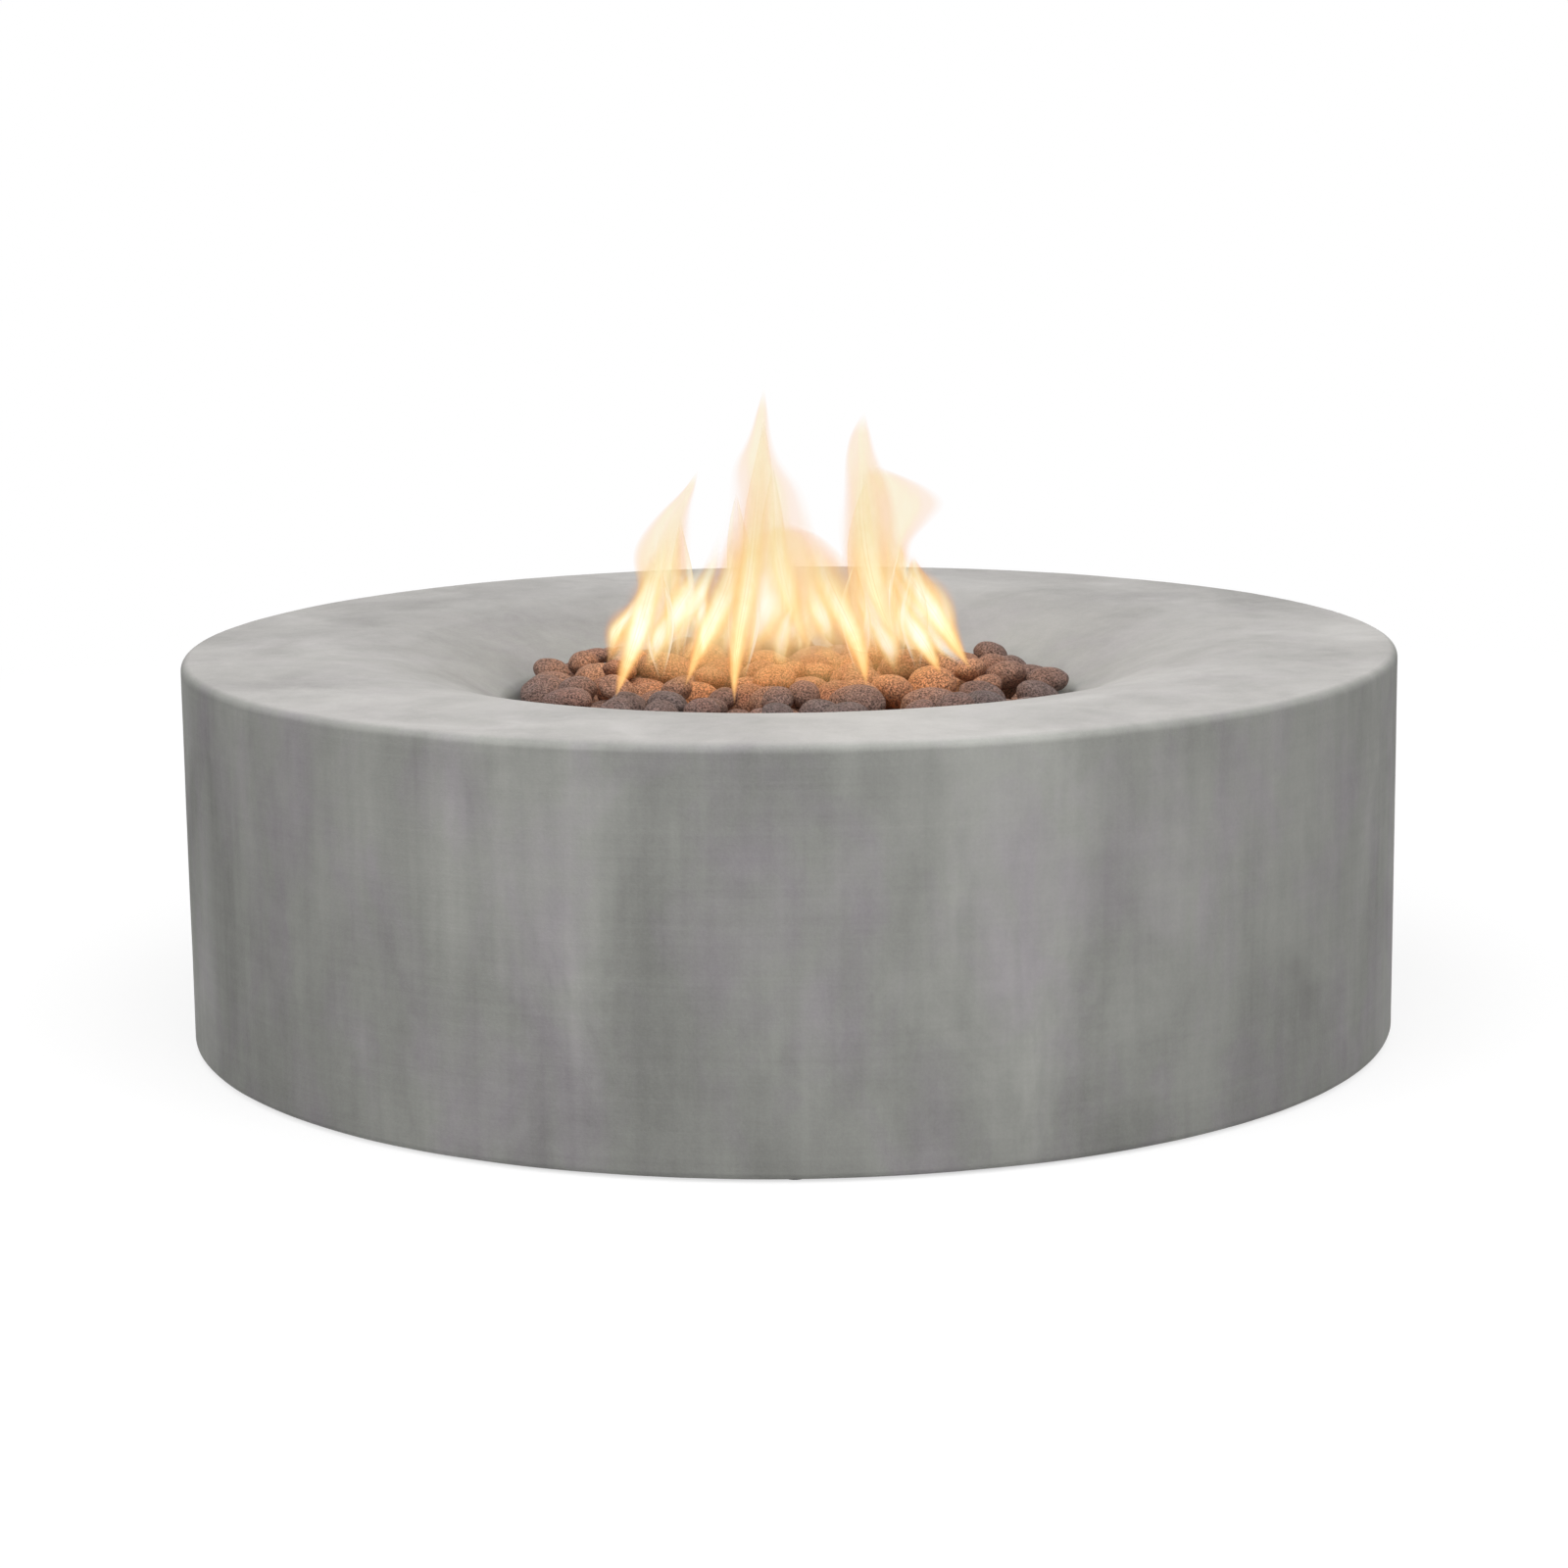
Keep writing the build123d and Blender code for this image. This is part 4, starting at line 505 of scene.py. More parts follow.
# Concrete body: the frame's casting turned finely, with a faintly uneven skin and its pockets cut out.
WALL = 0.032
TOP_T = 0.030
RIM_FLAT = 0.120
RIM_EDGE_R = 0.008
FOOT_EDGE_R = 0.006
DISH_SLOPE = math.radians(30)
DISH_LIP_R = 0.300
BOWL_R = 0.250
BOWL_EDGE_R = 0.016
LEDGE_DEPTH = 0.024
LEDGE_W = 0.020
LEDGE_T = 0.026
LEDGE_EDGE_R = 0.003
COLLAR_W = 0.030
INSIDE_R = 0.030
NICHE_SIZE = (0.170, 0.104)
NICHE_Z = 0.205
NICHE_DEPTH = 0.036
NICHE_CORNER_R = 0.012
PANEL_W = 0.260
PANEL_T = 0.018
PANEL_TOP_MARGIN = 0.014
PANEL_STEPS = 40
WINDOW_SIZE = (0.120, 0.060)
INSERT_INSET = 0.013
INSERT_BORE = (0.00355, 0.014)
INLET_PLACE = (-0.032, 0.085)
INLET_CUP_R = 0.028
INLET_BORE_R = 0.0108
PAD_POCKET = (0.0093, 0.003)
VENT_ANGLES = (40, 140)
VENT_SIZE = (0.116, 0.066)
VENT_Z = 0.170
VENT_DEPTH = 0.006
VENT_FRAME = 0.011
VENT_STEPS = 30
VENT_SCREW_INSET = 0.0065
VENT_SCREW_BORE = (0.00205, 0.022)
OVERRUN = 0.008
SKIN_STEP = 0.012
SKIN_WAVE = 0.0007
SKIN_WAVE_SCALE = 14
SKIN_WAVE_MIDDLE = 0.62
SKIN_SEED = 57
TURN_STEPS = 360
ARC_STEP = math.radians(6)
BORE_STEPS = 20
CREASE = math.radians(32)
SWAP_UP_AND_OUT = Matrix(((1, 0, 0, 0), (0, 0, 1, 0), (0, 1, 0, 0), (0, 0, 0, 1)))

shell_low, shell_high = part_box("concrete_shell")
pit_r = shell_high.x
foot_z = shell_low.z
rim_z = shell_high.z
wall_r = pit_r - WALL
niche_y = pit_r - NICHE_DEPTH
panel_y = niche_y - PANEL_T


def rounded_outline(corners, radii):
    """Closed outline with its corners rounded and its long runs divided."""
    rounded = []
    count = len(corners)
    for i, radius in enumerate(radii):
        here = np.array(corners[i])
        back = np.array(corners[i - 1]) - here
        ahead = np.array(corners[(i + 1) % count]) - here
        back /= np.linalg.norm(back)
        ahead /= np.linalg.norm(ahead)
        if not radius:
            rounded.append(here)
            continue
        half = math.acos(back @ ahead) / 2
        middle = (back + ahead) / np.linalg.norm(back + ahead)
        centre = here + middle * radius / math.sin(half)
        arm = here + back * radius / math.tan(half) - centre
        sweep = math.copysign(math.pi - 2 * half, back[1] * ahead[0] - back[0] * ahead[1])
        steps = math.ceil(abs(sweep) / ARC_STEP)
        for k in range(steps + 1):
            c = math.cos(sweep * k / steps)
            s = math.sin(sweep * k / steps)
            rounded.append(centre + np.array([c * arm[0] - s * arm[1], s * arm[0] + c * arm[1]]))
    divided = []
    for i, point in enumerate(rounded):
        run = rounded[(i + 1) % len(rounded)] - point
        parts = math.ceil(np.linalg.norm(run) / SKIN_STEP)
        divided += [point + run * k / parts for k in range(parts)]
    return np.array(divided)


def shell_outline():
    """Section of the casting as radius and height."""
    lip_r = pit_r - RIM_FLAT - DISH_LIP_R * math.tan(DISH_SLOPE / 2)
    fall = math.tan(DISH_SLOPE)
    throat_z = rim_z - (lip_r - BOWL_R) * fall
    ledge_z = throat_z - LEDGE_DEPTH
    hole_r = BOWL_R - LEDGE_W
    collar_r = BOWL_R + COLLAR_W
    collar_z = rim_z - (lip_r - collar_r) * fall - TOP_T / math.cos(DISH_SLOPE)
    under_r = lip_r + TOP_T * (1 / math.cos(DISH_SLOPE) - 1) / fall
    corners = [
        (wall_r, foot_z),
        (pit_r, foot_z),
        (pit_r, rim_z),
        (lip_r, rim_z),
        (BOWL_R, throat_z),
        (BOWL_R, ledge_z),
        (hole_r, ledge_z),
        (hole_r, ledge_z - LEDGE_T),
        (collar_r, ledge_z - LEDGE_T),
        (collar_r, collar_z),
        (under_r, rim_z - TOP_T),
        (wall_r, rim_z - TOP_T),
    ]
    radii = [0, FOOT_EDGE_R, RIM_EDGE_R, DISH_LIP_R, BOWL_EDGE_R, 0]
    radii += [LEDGE_EDGE_R, LEDGE_EDGE_R, 0, 0, 0, INSIDE_R]
    return rounded_outline(corners, radii)


def turned_skin(outline):
    """Outline turned about the upright axis, its skin gently waved."""
    way = np.roll(outline, -1, axis=0) - np.roll(outline, 1, axis=0)
    out = np.stack([way[:, 1], -way[:, 0]], axis=1)
    out /= np.linalg.norm(out, axis=1, keepdims=True)
    angles = np.linspace(0, 2 * math.pi, TURN_STEPS, endpoint=False)
    cos, sin, one = np.cos(angles)[:, None], np.sin(angles)[:, None], np.ones((TURN_STEPS, 1))
    points, facing = [
        np.stack([cos * flat[:, 0], sin * flat[:, 0], one * flat[:, 1]], axis=2).reshape(-1, 3)
        for flat in (outline, out)
    ]
    wave = cloud(points * SKIN_WAVE_SCALE, SKIN_SEED) - SKIN_WAVE_MIDDLE
    points = points + facing * (wave * SKIN_WAVE)[:, None]
    size = len(outline)
    faces = []
    for i in range(TURN_STEPS):
        here, ahead = i * size, (i + 1) % TURN_STEPS * size
        for j in range(size):
            up = (j + 1) % size
            faces.append((here + j, ahead + j, ahead + up, here + up))
    return points, faces


def prism(outline, low, high, place=Matrix()):
    """Solid from a flat outline between two levels, set in place by a matrix."""
    count = len(outline)
    verts = [place @ Vector((u, v, level)) for level in (low, high) for u, v in outline]
    faces = [tuple(range(count))[::-1], tuple(range(count, 2 * count))]
    faces += [(i, (i + 1) % count, count + (i + 1) % count, count + i) for i in range(count)]
    mesh = bpy.data.meshes.new("cutter")
    mesh.from_pydata(verts, [], faces)
    solid = bmesh.new()
    solid.from_mesh(mesh)
    bmesh.ops.recalc_face_normals(solid, faces=solid.faces)
    solid.to_mesh(mesh)
    solid.free()
    return bpy.data.objects.new("cutter", mesh)


def disc(radius, centre, steps=48):
    turns = [2 * math.pi * k / steps for k in range(steps)]
    return [(centre[0] + radius * math.cos(t), centre[1] + radius * math.sin(t)) for t in turns]


def oblong(size, corner_r, centre):
    w, h = size[0] / 2, size[1] / 2
    corners = [(-w, -h), (w, -h), (w, h), (-w, h)]
    return [(centre[0] + u, centre[1] + v) for u, v in rounded_outline(corners, [corner_r] * 4)]


def facing_out(angle):
    """Across follows the wall, up is z, outwards leaves the middle."""
    c, s = math.cos(angle), math.sin(angle)
    return Matrix(((-s, 0, c, 0), (c, 0, s, 0), (0, 1, 0, 0), (0, 0, 0, 1)))


def back_panel():
    """Thickened panel inside the wall behind the controls."""
    half = PANEL_W / 2
    reach = pit_r - WALL / 2
    across = np.linspace(half, -half, PANEL_STEPS)
    outline = [(-half, panel_y), (half, panel_y)] + [(x, math.sqrt(reach**2 - x**2)) for x in across]
    top = NICHE_Z + NICHE_SIZE[1] / 2 + PANEL_TOP_MARGIN
    return prism(outline, foot_z + SKIN_WAVE, top)


def control_pockets():
    """Niche, window, inlet cup, inlet bore and the bores for the plate's inserts."""
    place = SWAP_UP_AND_OUT
    past = pit_r + OVERRUN
    niche = oblong(NICHE_SIZE, NICHE_CORNER_R, (0, NICHE_Z))
    window = oblong(WINDOW_SIZE, NICHE_CORNER_R, (0, NICHE_Z))
    cuts = [
        prism(niche, niche_y, past, place),
        prism(window, panel_y - OVERRUN, past, place),
        prism(disc(INLET_CUP_R, INLET_PLACE), niche_y, past, place),
        prism(disc(INLET_BORE_R, INLET_PLACE), panel_y - OVERRUN, past, place),
    ]
    radius, deep = INSERT_BORE
    for side, level in itertools.product((-1, 1), repeat=2):
        x = side * (NICHE_SIZE[0] / 2 - INSERT_INSET)
        z = NICHE_Z + level * (NICHE_SIZE[1] / 2 - INSERT_INSET)
        cuts.append(prism(disc(radius, (x, z), BORE_STEPS), niche_y - deep, past, place))
    return cuts


def vent_pockets(angle):
    """Recess that follows the wall, the opening through it and the bores for its screws."""
    place = facing_out(angle)
    half_w, half_h = VENT_SIZE[0] / 2, VENT_SIZE[1] / 2
    floor_r = pit_r - VENT_DEPTH
    across = np.linspace(-half_w, half_w, VENT_STEPS)
    recess = [(x, math.sqrt(floor_r**2 - x**2)) for x in across]
    recess += [(half_w, pit_r + OVERRUN), (-half_w, pit_r + OVERRUN)]
    opening = oblong([size - 2 * VENT_FRAME for size in VENT_SIZE], 0.0, (0, VENT_Z))
    cuts = [
        prism(recess, VENT_Z - half_h, VENT_Z + half_h, place @ SWAP_UP_AND_OUT),
        prism(opening, wall_r - WALL, pit_r + OVERRUN, place),
    ]
    radius, deep = VENT_SCREW_BORE
    step = math.asin((half_w - VENT_SCREW_INSET) / pit_r)
    for side, level in itertools.product((-1, 1), repeat=2):
        bore = disc(radius, (0, VENT_Z + level * (half_h - VENT_SCREW_INSET)), BORE_STEPS)
        cuts.append(prism(bore, pit_r - deep, pit_r, facing_out(angle + side * step)))
    return cuts


def pad_pockets():
    """Pockets under the wall, one round each rubber pad."""
    radius, deep = PAD_POCKET
    cuts = []
    for points in islands(nodes["foot_pads"].data):
        x, y = (points.min(0) + points.max(0))[:2] / 2
        cuts.append(prism(disc(radius, (x, y)), foot_z - OVERRUN, foot_z + deep))
    return cuts


def merge(piece, others, how):
    """Join or cut a piece's mesh with other solids, which are then thrown away."""
    group = bpy.data.collections.new("cutters")
    scene.collection.children.link(group)
    for other in others:
        group.objects.link(other)
    step = piece.modifiers.new("merge", "BOOLEAN")
    step.operation = how
    step.solver = "EXACT"
    step.operand_type = "COLLECTION"
    step.collection = group
    bpy.context.view_layer.update()
    solved = piece.evaluated_get(bpy.context.evaluated_depsgraph_get())
    merged = bpy.data.meshes.new_from_object(solved)
    piece.modifiers.clear()
    old = piece.data
    piece.data = merged
    bpy.data.meshes.remove(old)
    for other in others:
        mesh = other.data
        bpy.data.objects.remove(other)
        bpy.data.meshes.remove(mesh)
    bpy.data.collections.remove(group)


def keep_creases(mesh, angle):
    """Smooth shading but for edges that bend more than the angle."""
    solid = bmesh.new()
    solid.from_mesh(mesh)
    for face in solid.faces:
        face.smooth = True
    for edge in solid.edges:
        edge.smooth = len(edge.link_faces) == 2 and edge.calc_face_angle() < angle
    solid.to_mesh(mesh)
    solid.free()


def build_concrete():
    piece = add_piece("concrete_body", *turned_skin(shell_outline()), "concrete")
    merge(piece, [back_panel()], "UNION")
    cuts = control_pockets() + pad_pockets()
    for angle in VENT_ANGLES:
        cuts += vent_pockets(math.radians(angle))
    merge(piece, cuts, "DIFFERENCE")
    keep_creases(piece.data, CREASE)
    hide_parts("concrete_shell")


build_concrete()


# Lava stones: each plain stone of the frame is found in its node, and a lumpy one is put in its place.
STONE_SWELL = 1.05
LUMP_SCALE = 0.9
LUMP_DEPTH = 0.09
LUMP_RANGE = (0.75, 0.25)
DENT_SCALE = 110
DENT_DEPTH = 0.025
DENT_RANGE = (0.62, 0.3)
DENT_SEED_STEP = 5
NOISE_ROOM = 90
# Painted firelight on the stones: its reach from the fire's middle, its fade and the least share a lit stone
# takes.
FIRELIGHT_REACH = (0.235, 0.180)
FIRE_MIDDLE_Y = 0.02
FIRELIGHT_EDGE = (1.15, 0.45)
LEAST_FIRELIGHT = 0.55

ball = bmesh.new()
bmesh.ops.create_icosphere(ball, subdivisions=4, radius=1)
ball_points = np.array([v.co for v in ball.verts])
ball_faces = np.array([[v.index for v in face.verts] for face in ball.faces])
ball.free()


def ellipsoid(points):
    """Centre, axes and half sizes of the ellipsoid on whose skin the points lie."""
    centre = (points.min(0) + points.max(0)) / 2
    x, y, z = (points - centre).T
    rows = np.stack([x**2, y**2, z**2, 2 * x * y, 2 * x * z, 2 * y * z], axis=1)
    a, b, c, e, f, g = np.linalg.lstsq(rows, np.ones(len(points)), rcond=None)[0]
    sizes, axes = np.linalg.eigh(np.array([[a, e, f], [e, b, g], [f, g, c]]))
    return centre, axes, 1 / np.sqrt(sizes)


def dress_stones(node, name, seed):
    rng = random.Random(seed)
    verts, faces, tones, firelight_shares = [], [], [], []
    total = 0
    for points in islands(nodes[node].data):
        centre, axes, half = ellipsoid(points)
        offset = np.array([rng.uniform(0, NOISE_ROOM) for _ in range(3)])
        lumps = cloud(ball_points * LUMP_SCALE + offset, seed, 2)
        dents = cloud(ball_points * half.mean() * DENT_SCALE + offset, seed + DENT_SEED_STEP, 2)
        grow = STONE_SWELL - LUMP_DEPTH * ease(lumps, *LUMP_RANGE) - DENT_DEPTH * ease(dents, *DENT_RANGE)
        shape = (ball_points * half * grow[:, None]) @ axes.T + centre
        verts.append(shape)
        faces.append(ball_faces + total)
        total += len(shape)
        tones.append(np.full(len(shape), rng.random()))
        # Painted firelight, strongest near the fire's middle.
        away = np.hypot(shape[:, 0] / FIRELIGHT_REACH[0], (shape[:, 1] - FIRE_MIDDLE_Y) / FIRELIGHT_REACH[1])
        firelight_shares.append(ease(away, *FIRELIGHT_EDGE) * (LEAST_FIRELIGHT + (1 - LEAST_FIRELIGHT) * rng.random()))
    piece = add_piece(name, np.concatenate(verts), np.concatenate(faces), "lava_stone")
    add_value(piece, "tone", tones)
    add_value(piece, "painted_firelight", firelight_shares)
    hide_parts(node)


dress_stones("upper_lava_stones", "lava_stones_top", 3)
dress_stones("lower_lava_stones", "lava_stones_under", 4)


# Springs: wound wire behind the knob and under the button, which in the real fire pit shortens as they are
# pushed in.
COIL_STEPS = 40
WIRE_SIDES = 12
PLUNGER_WIRE_R, PLUNGER_TURNS = 0.0006, 5
IGNITER_WIRE_R, IGNITER_TURNS = 0.0005, 3


def wound_wire(low, high, wire_r, turns):
    """Closed wire wound along y between two corners of a box."""
    middle = (low + high) / 2
    coil_r = (high.x - low.x) / 2 - wire_r
    rise = high.y - low.y - 2 * wire_r
    climb = rise / (2 * math.pi * turns * coil_r)
    steps = COIL_STEPS * turns
    verts, faces = [], []
    for k in range(steps + 1):
        angle = 2 * math.pi * turns * k / steps
        out = Vector((math.cos(angle), 0, math.sin(angle)))
        along = Vector((-math.sin(angle), climb, math.cos(angle))).normalized()
        side = along.cross(out)
        spot = Vector((middle.x, low.y + wire_r + rise * k / steps, middle.z)) + coil_r * out
        for j in range(WIRE_SIDES):
            t = 2 * math.pi * j / WIRE_SIDES
            verts.append(spot + wire_r * (math.cos(t) * out + math.sin(t) * side))
    for k in range(steps):
        for j in range(WIRE_SIDES):
            here, up = k * WIRE_SIDES + j, k * WIRE_SIDES + (j + 1) % WIRE_SIDES
            faces.append((here, up, up + WIRE_SIDES, here + WIRE_SIDES))
    faces.append(tuple(range(WIRE_SIDES))[::-1])
    faces.append(tuple(range(steps * WIRE_SIDES, (steps + 1) * WIRE_SIDES)))
    return verts, faces


def build_spring(node, name, wire_r, turns):
    low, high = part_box(node)
    piece = add_piece(name, *wound_wire(low, high, wire_r, turns), "zinc_steel")
    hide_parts(node)
    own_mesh(piece)


build_spring("plunger_spring", "plunger_coil", PLUNGER_WIRE_R, PLUNGER_TURNS)
build_spring("igniter_spring", "igniter_coil", IGNITER_WIRE_R, IGNITER_TURNS)


# Flames: closed thin sheets and ribbons of burning gas, in millimetres. Outlines and middle lines are given
# as they stand in the upright plane through the pit's middle, and each one is then set at its own depth
# along the line of sight from the place that the photo was taken from.
EYE_BACK = 3243.7
EYE_UP = 813.6
MM_PER_M = 1000
ACROSS = 12
ALONG = 60
BLUNT = 0.3
STRAND_SWELL, STRAND_BULGE = 1.6, 0.25
TWIN_SWELL, TWIN_BULGE = 1.3, 0.12
RING_BULGE = 0.5
RING_COUNT = 22
RING_START_DEG, RING_SWEEP_DEG, RING_STRAY_DEG = -8, 196, 4
RING_OUT = (92, 160)
RING_TALL = (80, 150)
RING_LEAN_SHARES = (0.25, 0.5)
RING_SWAY = 10
RING_TURN_DEG = 30
RING_WIDTH = (18, 30)
RING_FOOT_Z = 312
CROSS_FOOT_Z = 316
CROSS_BULGE = 0.3
FLAME_SEED = 21
LICK_SEED = 91
SHEET_FOOT_SHARE = 0.22
CROSS_FOOT_SHARE = 0.45
RING_FOOT_SHARE = 0.45
HOT_BELOW, COOL_ABOVE = 0.34, 0.45
MOST_VEIL = 0.92

# Broad pale sheets: rows of height, left edge, right edge; then foot depth, top depth, twist, bulge.
SHEETS = [
    (
        [(322, -62, -44), (340, -68, -16), (356, -72, 14), (372, -74, 28), (407, -71, 31), (428, -65, 27),
         (454, -52, 22), (479, -51, 14), (497, -49, -4), (519, -34, -13), (548, -25, -16),
         (565, -19.5, -18.5)],
        -24, -4, 3, 0.34,
    ),
    (
        [(316, -166, -150), (338, -160, -112), (349, -161, -98), (360, -155, -94), (378, -134, -92),
         (392, -134, -91), (414, -138, -86), (428, -135, -85), (446, -122, -84), (461, -107, -83),
         (476, -90, -80), (493, -78.5, -77.5)],
        8, 20, 6, 0.36,
    ),
    (
        [(318, 92, 108), (345, 66, 112), (370, 52, 110), (402, 45, 106), (430, 49, 101), (455, 50, 98),
         (480, 50, 92), (503, 51, 80), (525, 56, 74), (543, 68.5, 69.5)],
        22, 36, -5, 0.36,
    ),
    (
        [(366, 80, 92), (392, 76, 104), (414, 76, 108), (428, 74, 110), (441, 70, 123), (452, 68, 135),
         (463, 68, 142), (472, 66, 130), (479, 66, 118), (488, 66, 96), (496, 72, 76)],
        56, 50, -8, 0.22,
    ),
    (
        [(316, 148, 163), (333, 122, 150), (348, 104, 142), (364, 98, 141), (380, 98, 139),
         (391, 102, 130), (404, 106, 118), (414, 110, 112)],
        -20, -4, 8, 0.36,
    ),
    (
        [(330, -30, 10), (350, -40, 40), (372, -52, 62), (396, -58, 58), (418, -50, 48), (434, -30, 30),
         (446, -4, 0)],
        40, 44, 0, 0.3,
    ),
]

# Haze over the stones between the strands' feet, glowing gas that also lays painted firelight over the
# stones: as the sheets, then least heat and most veil.
FIRELIGHT_HAZES = [
    (
        [(290, -40, 30), (300, -120, 110), (312, -158, 150), (326, -162, 158), (342, -150, 146),
         (360, -120, 118), (376, -60, 70)],
        -128, -70, 0, 0.05, 0.08, 0.16,
    ),
    (
        [(318, -60, 60), (332, -110, 104), (350, -128, 118), (372, -118, 112), (394, -90, 96),
         (412, -40, 60)],
        34, 30, 0, 0.05, 0.55, 0.26,
    ),
]

# Bright strands: middle line from foot to tip, foot depth, tip depth, width, foot share that sets how far
# up the foot fades.
STRANDS = [
    ([(-156, 288), (-141, 328), (-128, 368), (-119, 400), (-104, 440)], -150, -78, 24, 0.10),
    ([(-118, 326), (-104, 358), (-87, 386), (-72, 412)], -40, 0, 22, 0.40),
    ([(-94, 297), (-79, 335), (-60, 372), (-48, 402), (-42, 445), (-44, 470)], -120, -62, 24, 0.10),
    ([(-49, 281), (-49, 320), (-42, 358), (-34, 396), (-27, 458), (-21, 530)], -178, -70, 24, 0.08),
    ([(21, 326), (6, 358), (-5, 396), (-11, 441), (-12, 486)], -20, 0, 24, 0.25),
    ([(69, 295), (66, 323), (54, 353), (39, 384), (27, 416), (16, 450)], -120, -56, 26, 0.10),
    ([(104, 318), (83, 362), (70, 405), (64, 458), (67, 500), (69, 534)], -30, 34, 28, 0.20),
    ([(163, 310), (146, 337), (129, 362), (110, 390), (91, 420), (80, 446)], -60, -10, 26, 0.12),
    ([(-165, 318), (-150, 340), (-128, 366), (-112, 400), (-98, 440), (-84, 480)], 6, 16, 20, 0.30),
    ([(-70, 322), (-78, 352), (-92, 382), (-100, 412)], 60, 30, 26, 0.45),
    ([(-18, 330), (-16, 356), (-22, 392), (-28, 420)], 20, 10, 22, 0.45),
    ([(40, 322), (34, 350), (24, 380), (20, 402)], -30, 0, 22, 0.45),
    ([(136, 306), (122, 334), (104, 360), (98, 384)], -80, -40, 20, 0.14),
    ([(-128, 312), (-118, 336), (-108, 356), (-100, 372)], -70, -40, 18, 0.45),
    ([(-4, 308), (-8, 330), (-4, 352), (4, 372)], -96, -50, 18, 0.50),
    ([(96, 306), (90, 328), (80, 348), (76, 362)], -80, -40, 18, 0.45),
    ([(-162, 320), (-157, 338), (-154, 350), (-144, 360), (-128, 368), (-108, 376)], 0, 10, 20, 0.30),
    ([(158, 318), (147, 335), (138, 350), (136, 366), (131, 382), (120, 394), (106, 404)], -16, 0, 20, 0.25),
]

# Sheets that stand across the depth, for the views from the sides: foot across, foot deep, height, width,
# lean, turn.
CROSS_SHEETS = [
    (-12, 62, 176, 78, -10, 82),
    (-42, 66, 150, 66, 12, 104),
    (-24, 24, 220, 66, 6, 70),
    (66, 84, 164, 64, -16, 106),
    (-96, 20, 132, 60, 12, 82),
    (98, 10, 112, 56, -14, 96),
    (-40, -92, 112, 88, 30, 84),
    (60, -64, 100, 82, 24, 96),
    (-112, -78, 96, 78, 26, 86),
    (112, -34, 92, 72, 18, 98),
]


def at_depth(x, z, y):
    """Across and up of a point moved along the line of sight to a depth."""
    share = (y + EYE_BACK) / EYE_BACK
    return x * share, EYE_UP + (z - EYE_UP) * share


def eased_line(values, passes, reach):
    """Line smoothed by running means, with its two ends kept."""
    kernel = np.ones(2 * reach + 1) / (2 * reach + 1)
    for _ in range(passes):
        before = 2 * values[0] - values[reach:0:-1]
        after = 2 * values[-1] - values[-2 : -2 - reach : -1]
        values = np.convolve(np.concatenate([before, values, after]), kernel, "valid")
    return values


def skin(left, right, bulge):
    """Closed sheet between two edge lines, thickest in its middle, with its place across and along."""
    u = np.linspace(-1, 1, ACROSS + 1)
    v = np.linspace(0, 1, ALONG + 1)
    way = np.gradient((left + right) / 2, axis=0)
    over = np.cross(right - left, way)
    over /= np.maximum(np.linalg.norm(over, axis=1, keepdims=True), 1e-9)
    half = np.linalg.norm(right - left, axis=1) / 2
    verts, us, vs = [], [], []
    index = {}
    for side in (1, -1):
        for i, j in itertools.product(range(ALONG + 1), range(ACROSS + 1)):
            rim = i in (0, ALONG) or j in (0, ACROSS)
            if rim and side < 0:
                index[side, i, j] = index[1, i, j]
                continue
            index[side, i, j] = len(verts)
            point = left[i] + (right[i] - left[i]) * (u[j] + 1) / 2
            if not rim:
                point = point + over[i] * side * bulge * half[i] * math.sqrt(1 - u[j] ** 2)
            verts.append(point)
            us.append(u[j])
            vs.append(v[i])
    faces = []
    for side in (1, -1):
        for i, j in itertools.product(range(ALONG), range(ACROSS)):
            corners = ((i, j), (i, j + 1), (i + 1, j + 1), (i + 1, j))
            quad = [index[side, row, column] for row, column in corners]
            faces.append(quad if side < 0 else quad[::-1])
    return np.array(verts) / MM_PER_M, faces, np.array(us), np.array(vs)


def sheet_between(rows, foot_y, top_y, twist_deg, bulge):
    """Broad sheet from rows of height, left edge and right edge."""
    rows = np.array(rows, dtype=float)
    share = np.linspace(0, 1, ALONG + 1)
    heights = rows[0, 0] + (rows[-1, 0] - rows[0, 0]) * share
    depth = foot_y + (top_y - foot_y) * share
    width = np.interp(heights, rows[:, 0], rows[:, 2] - rows[:, 1])
    lines = []
    for column, side in ((1, -1), (2, 1)):
        across = eased_line(np.interp(heights, rows[:, 0], rows[:, column]), passes=2, reach=2)
        y = depth + side * width / 2 * math.tan(math.radians(twist_deg))
        x, z = at_depth(across, heights, y)
        lines.append(np.stack([x, y, z], axis=1))
    return skin(*lines, bulge)


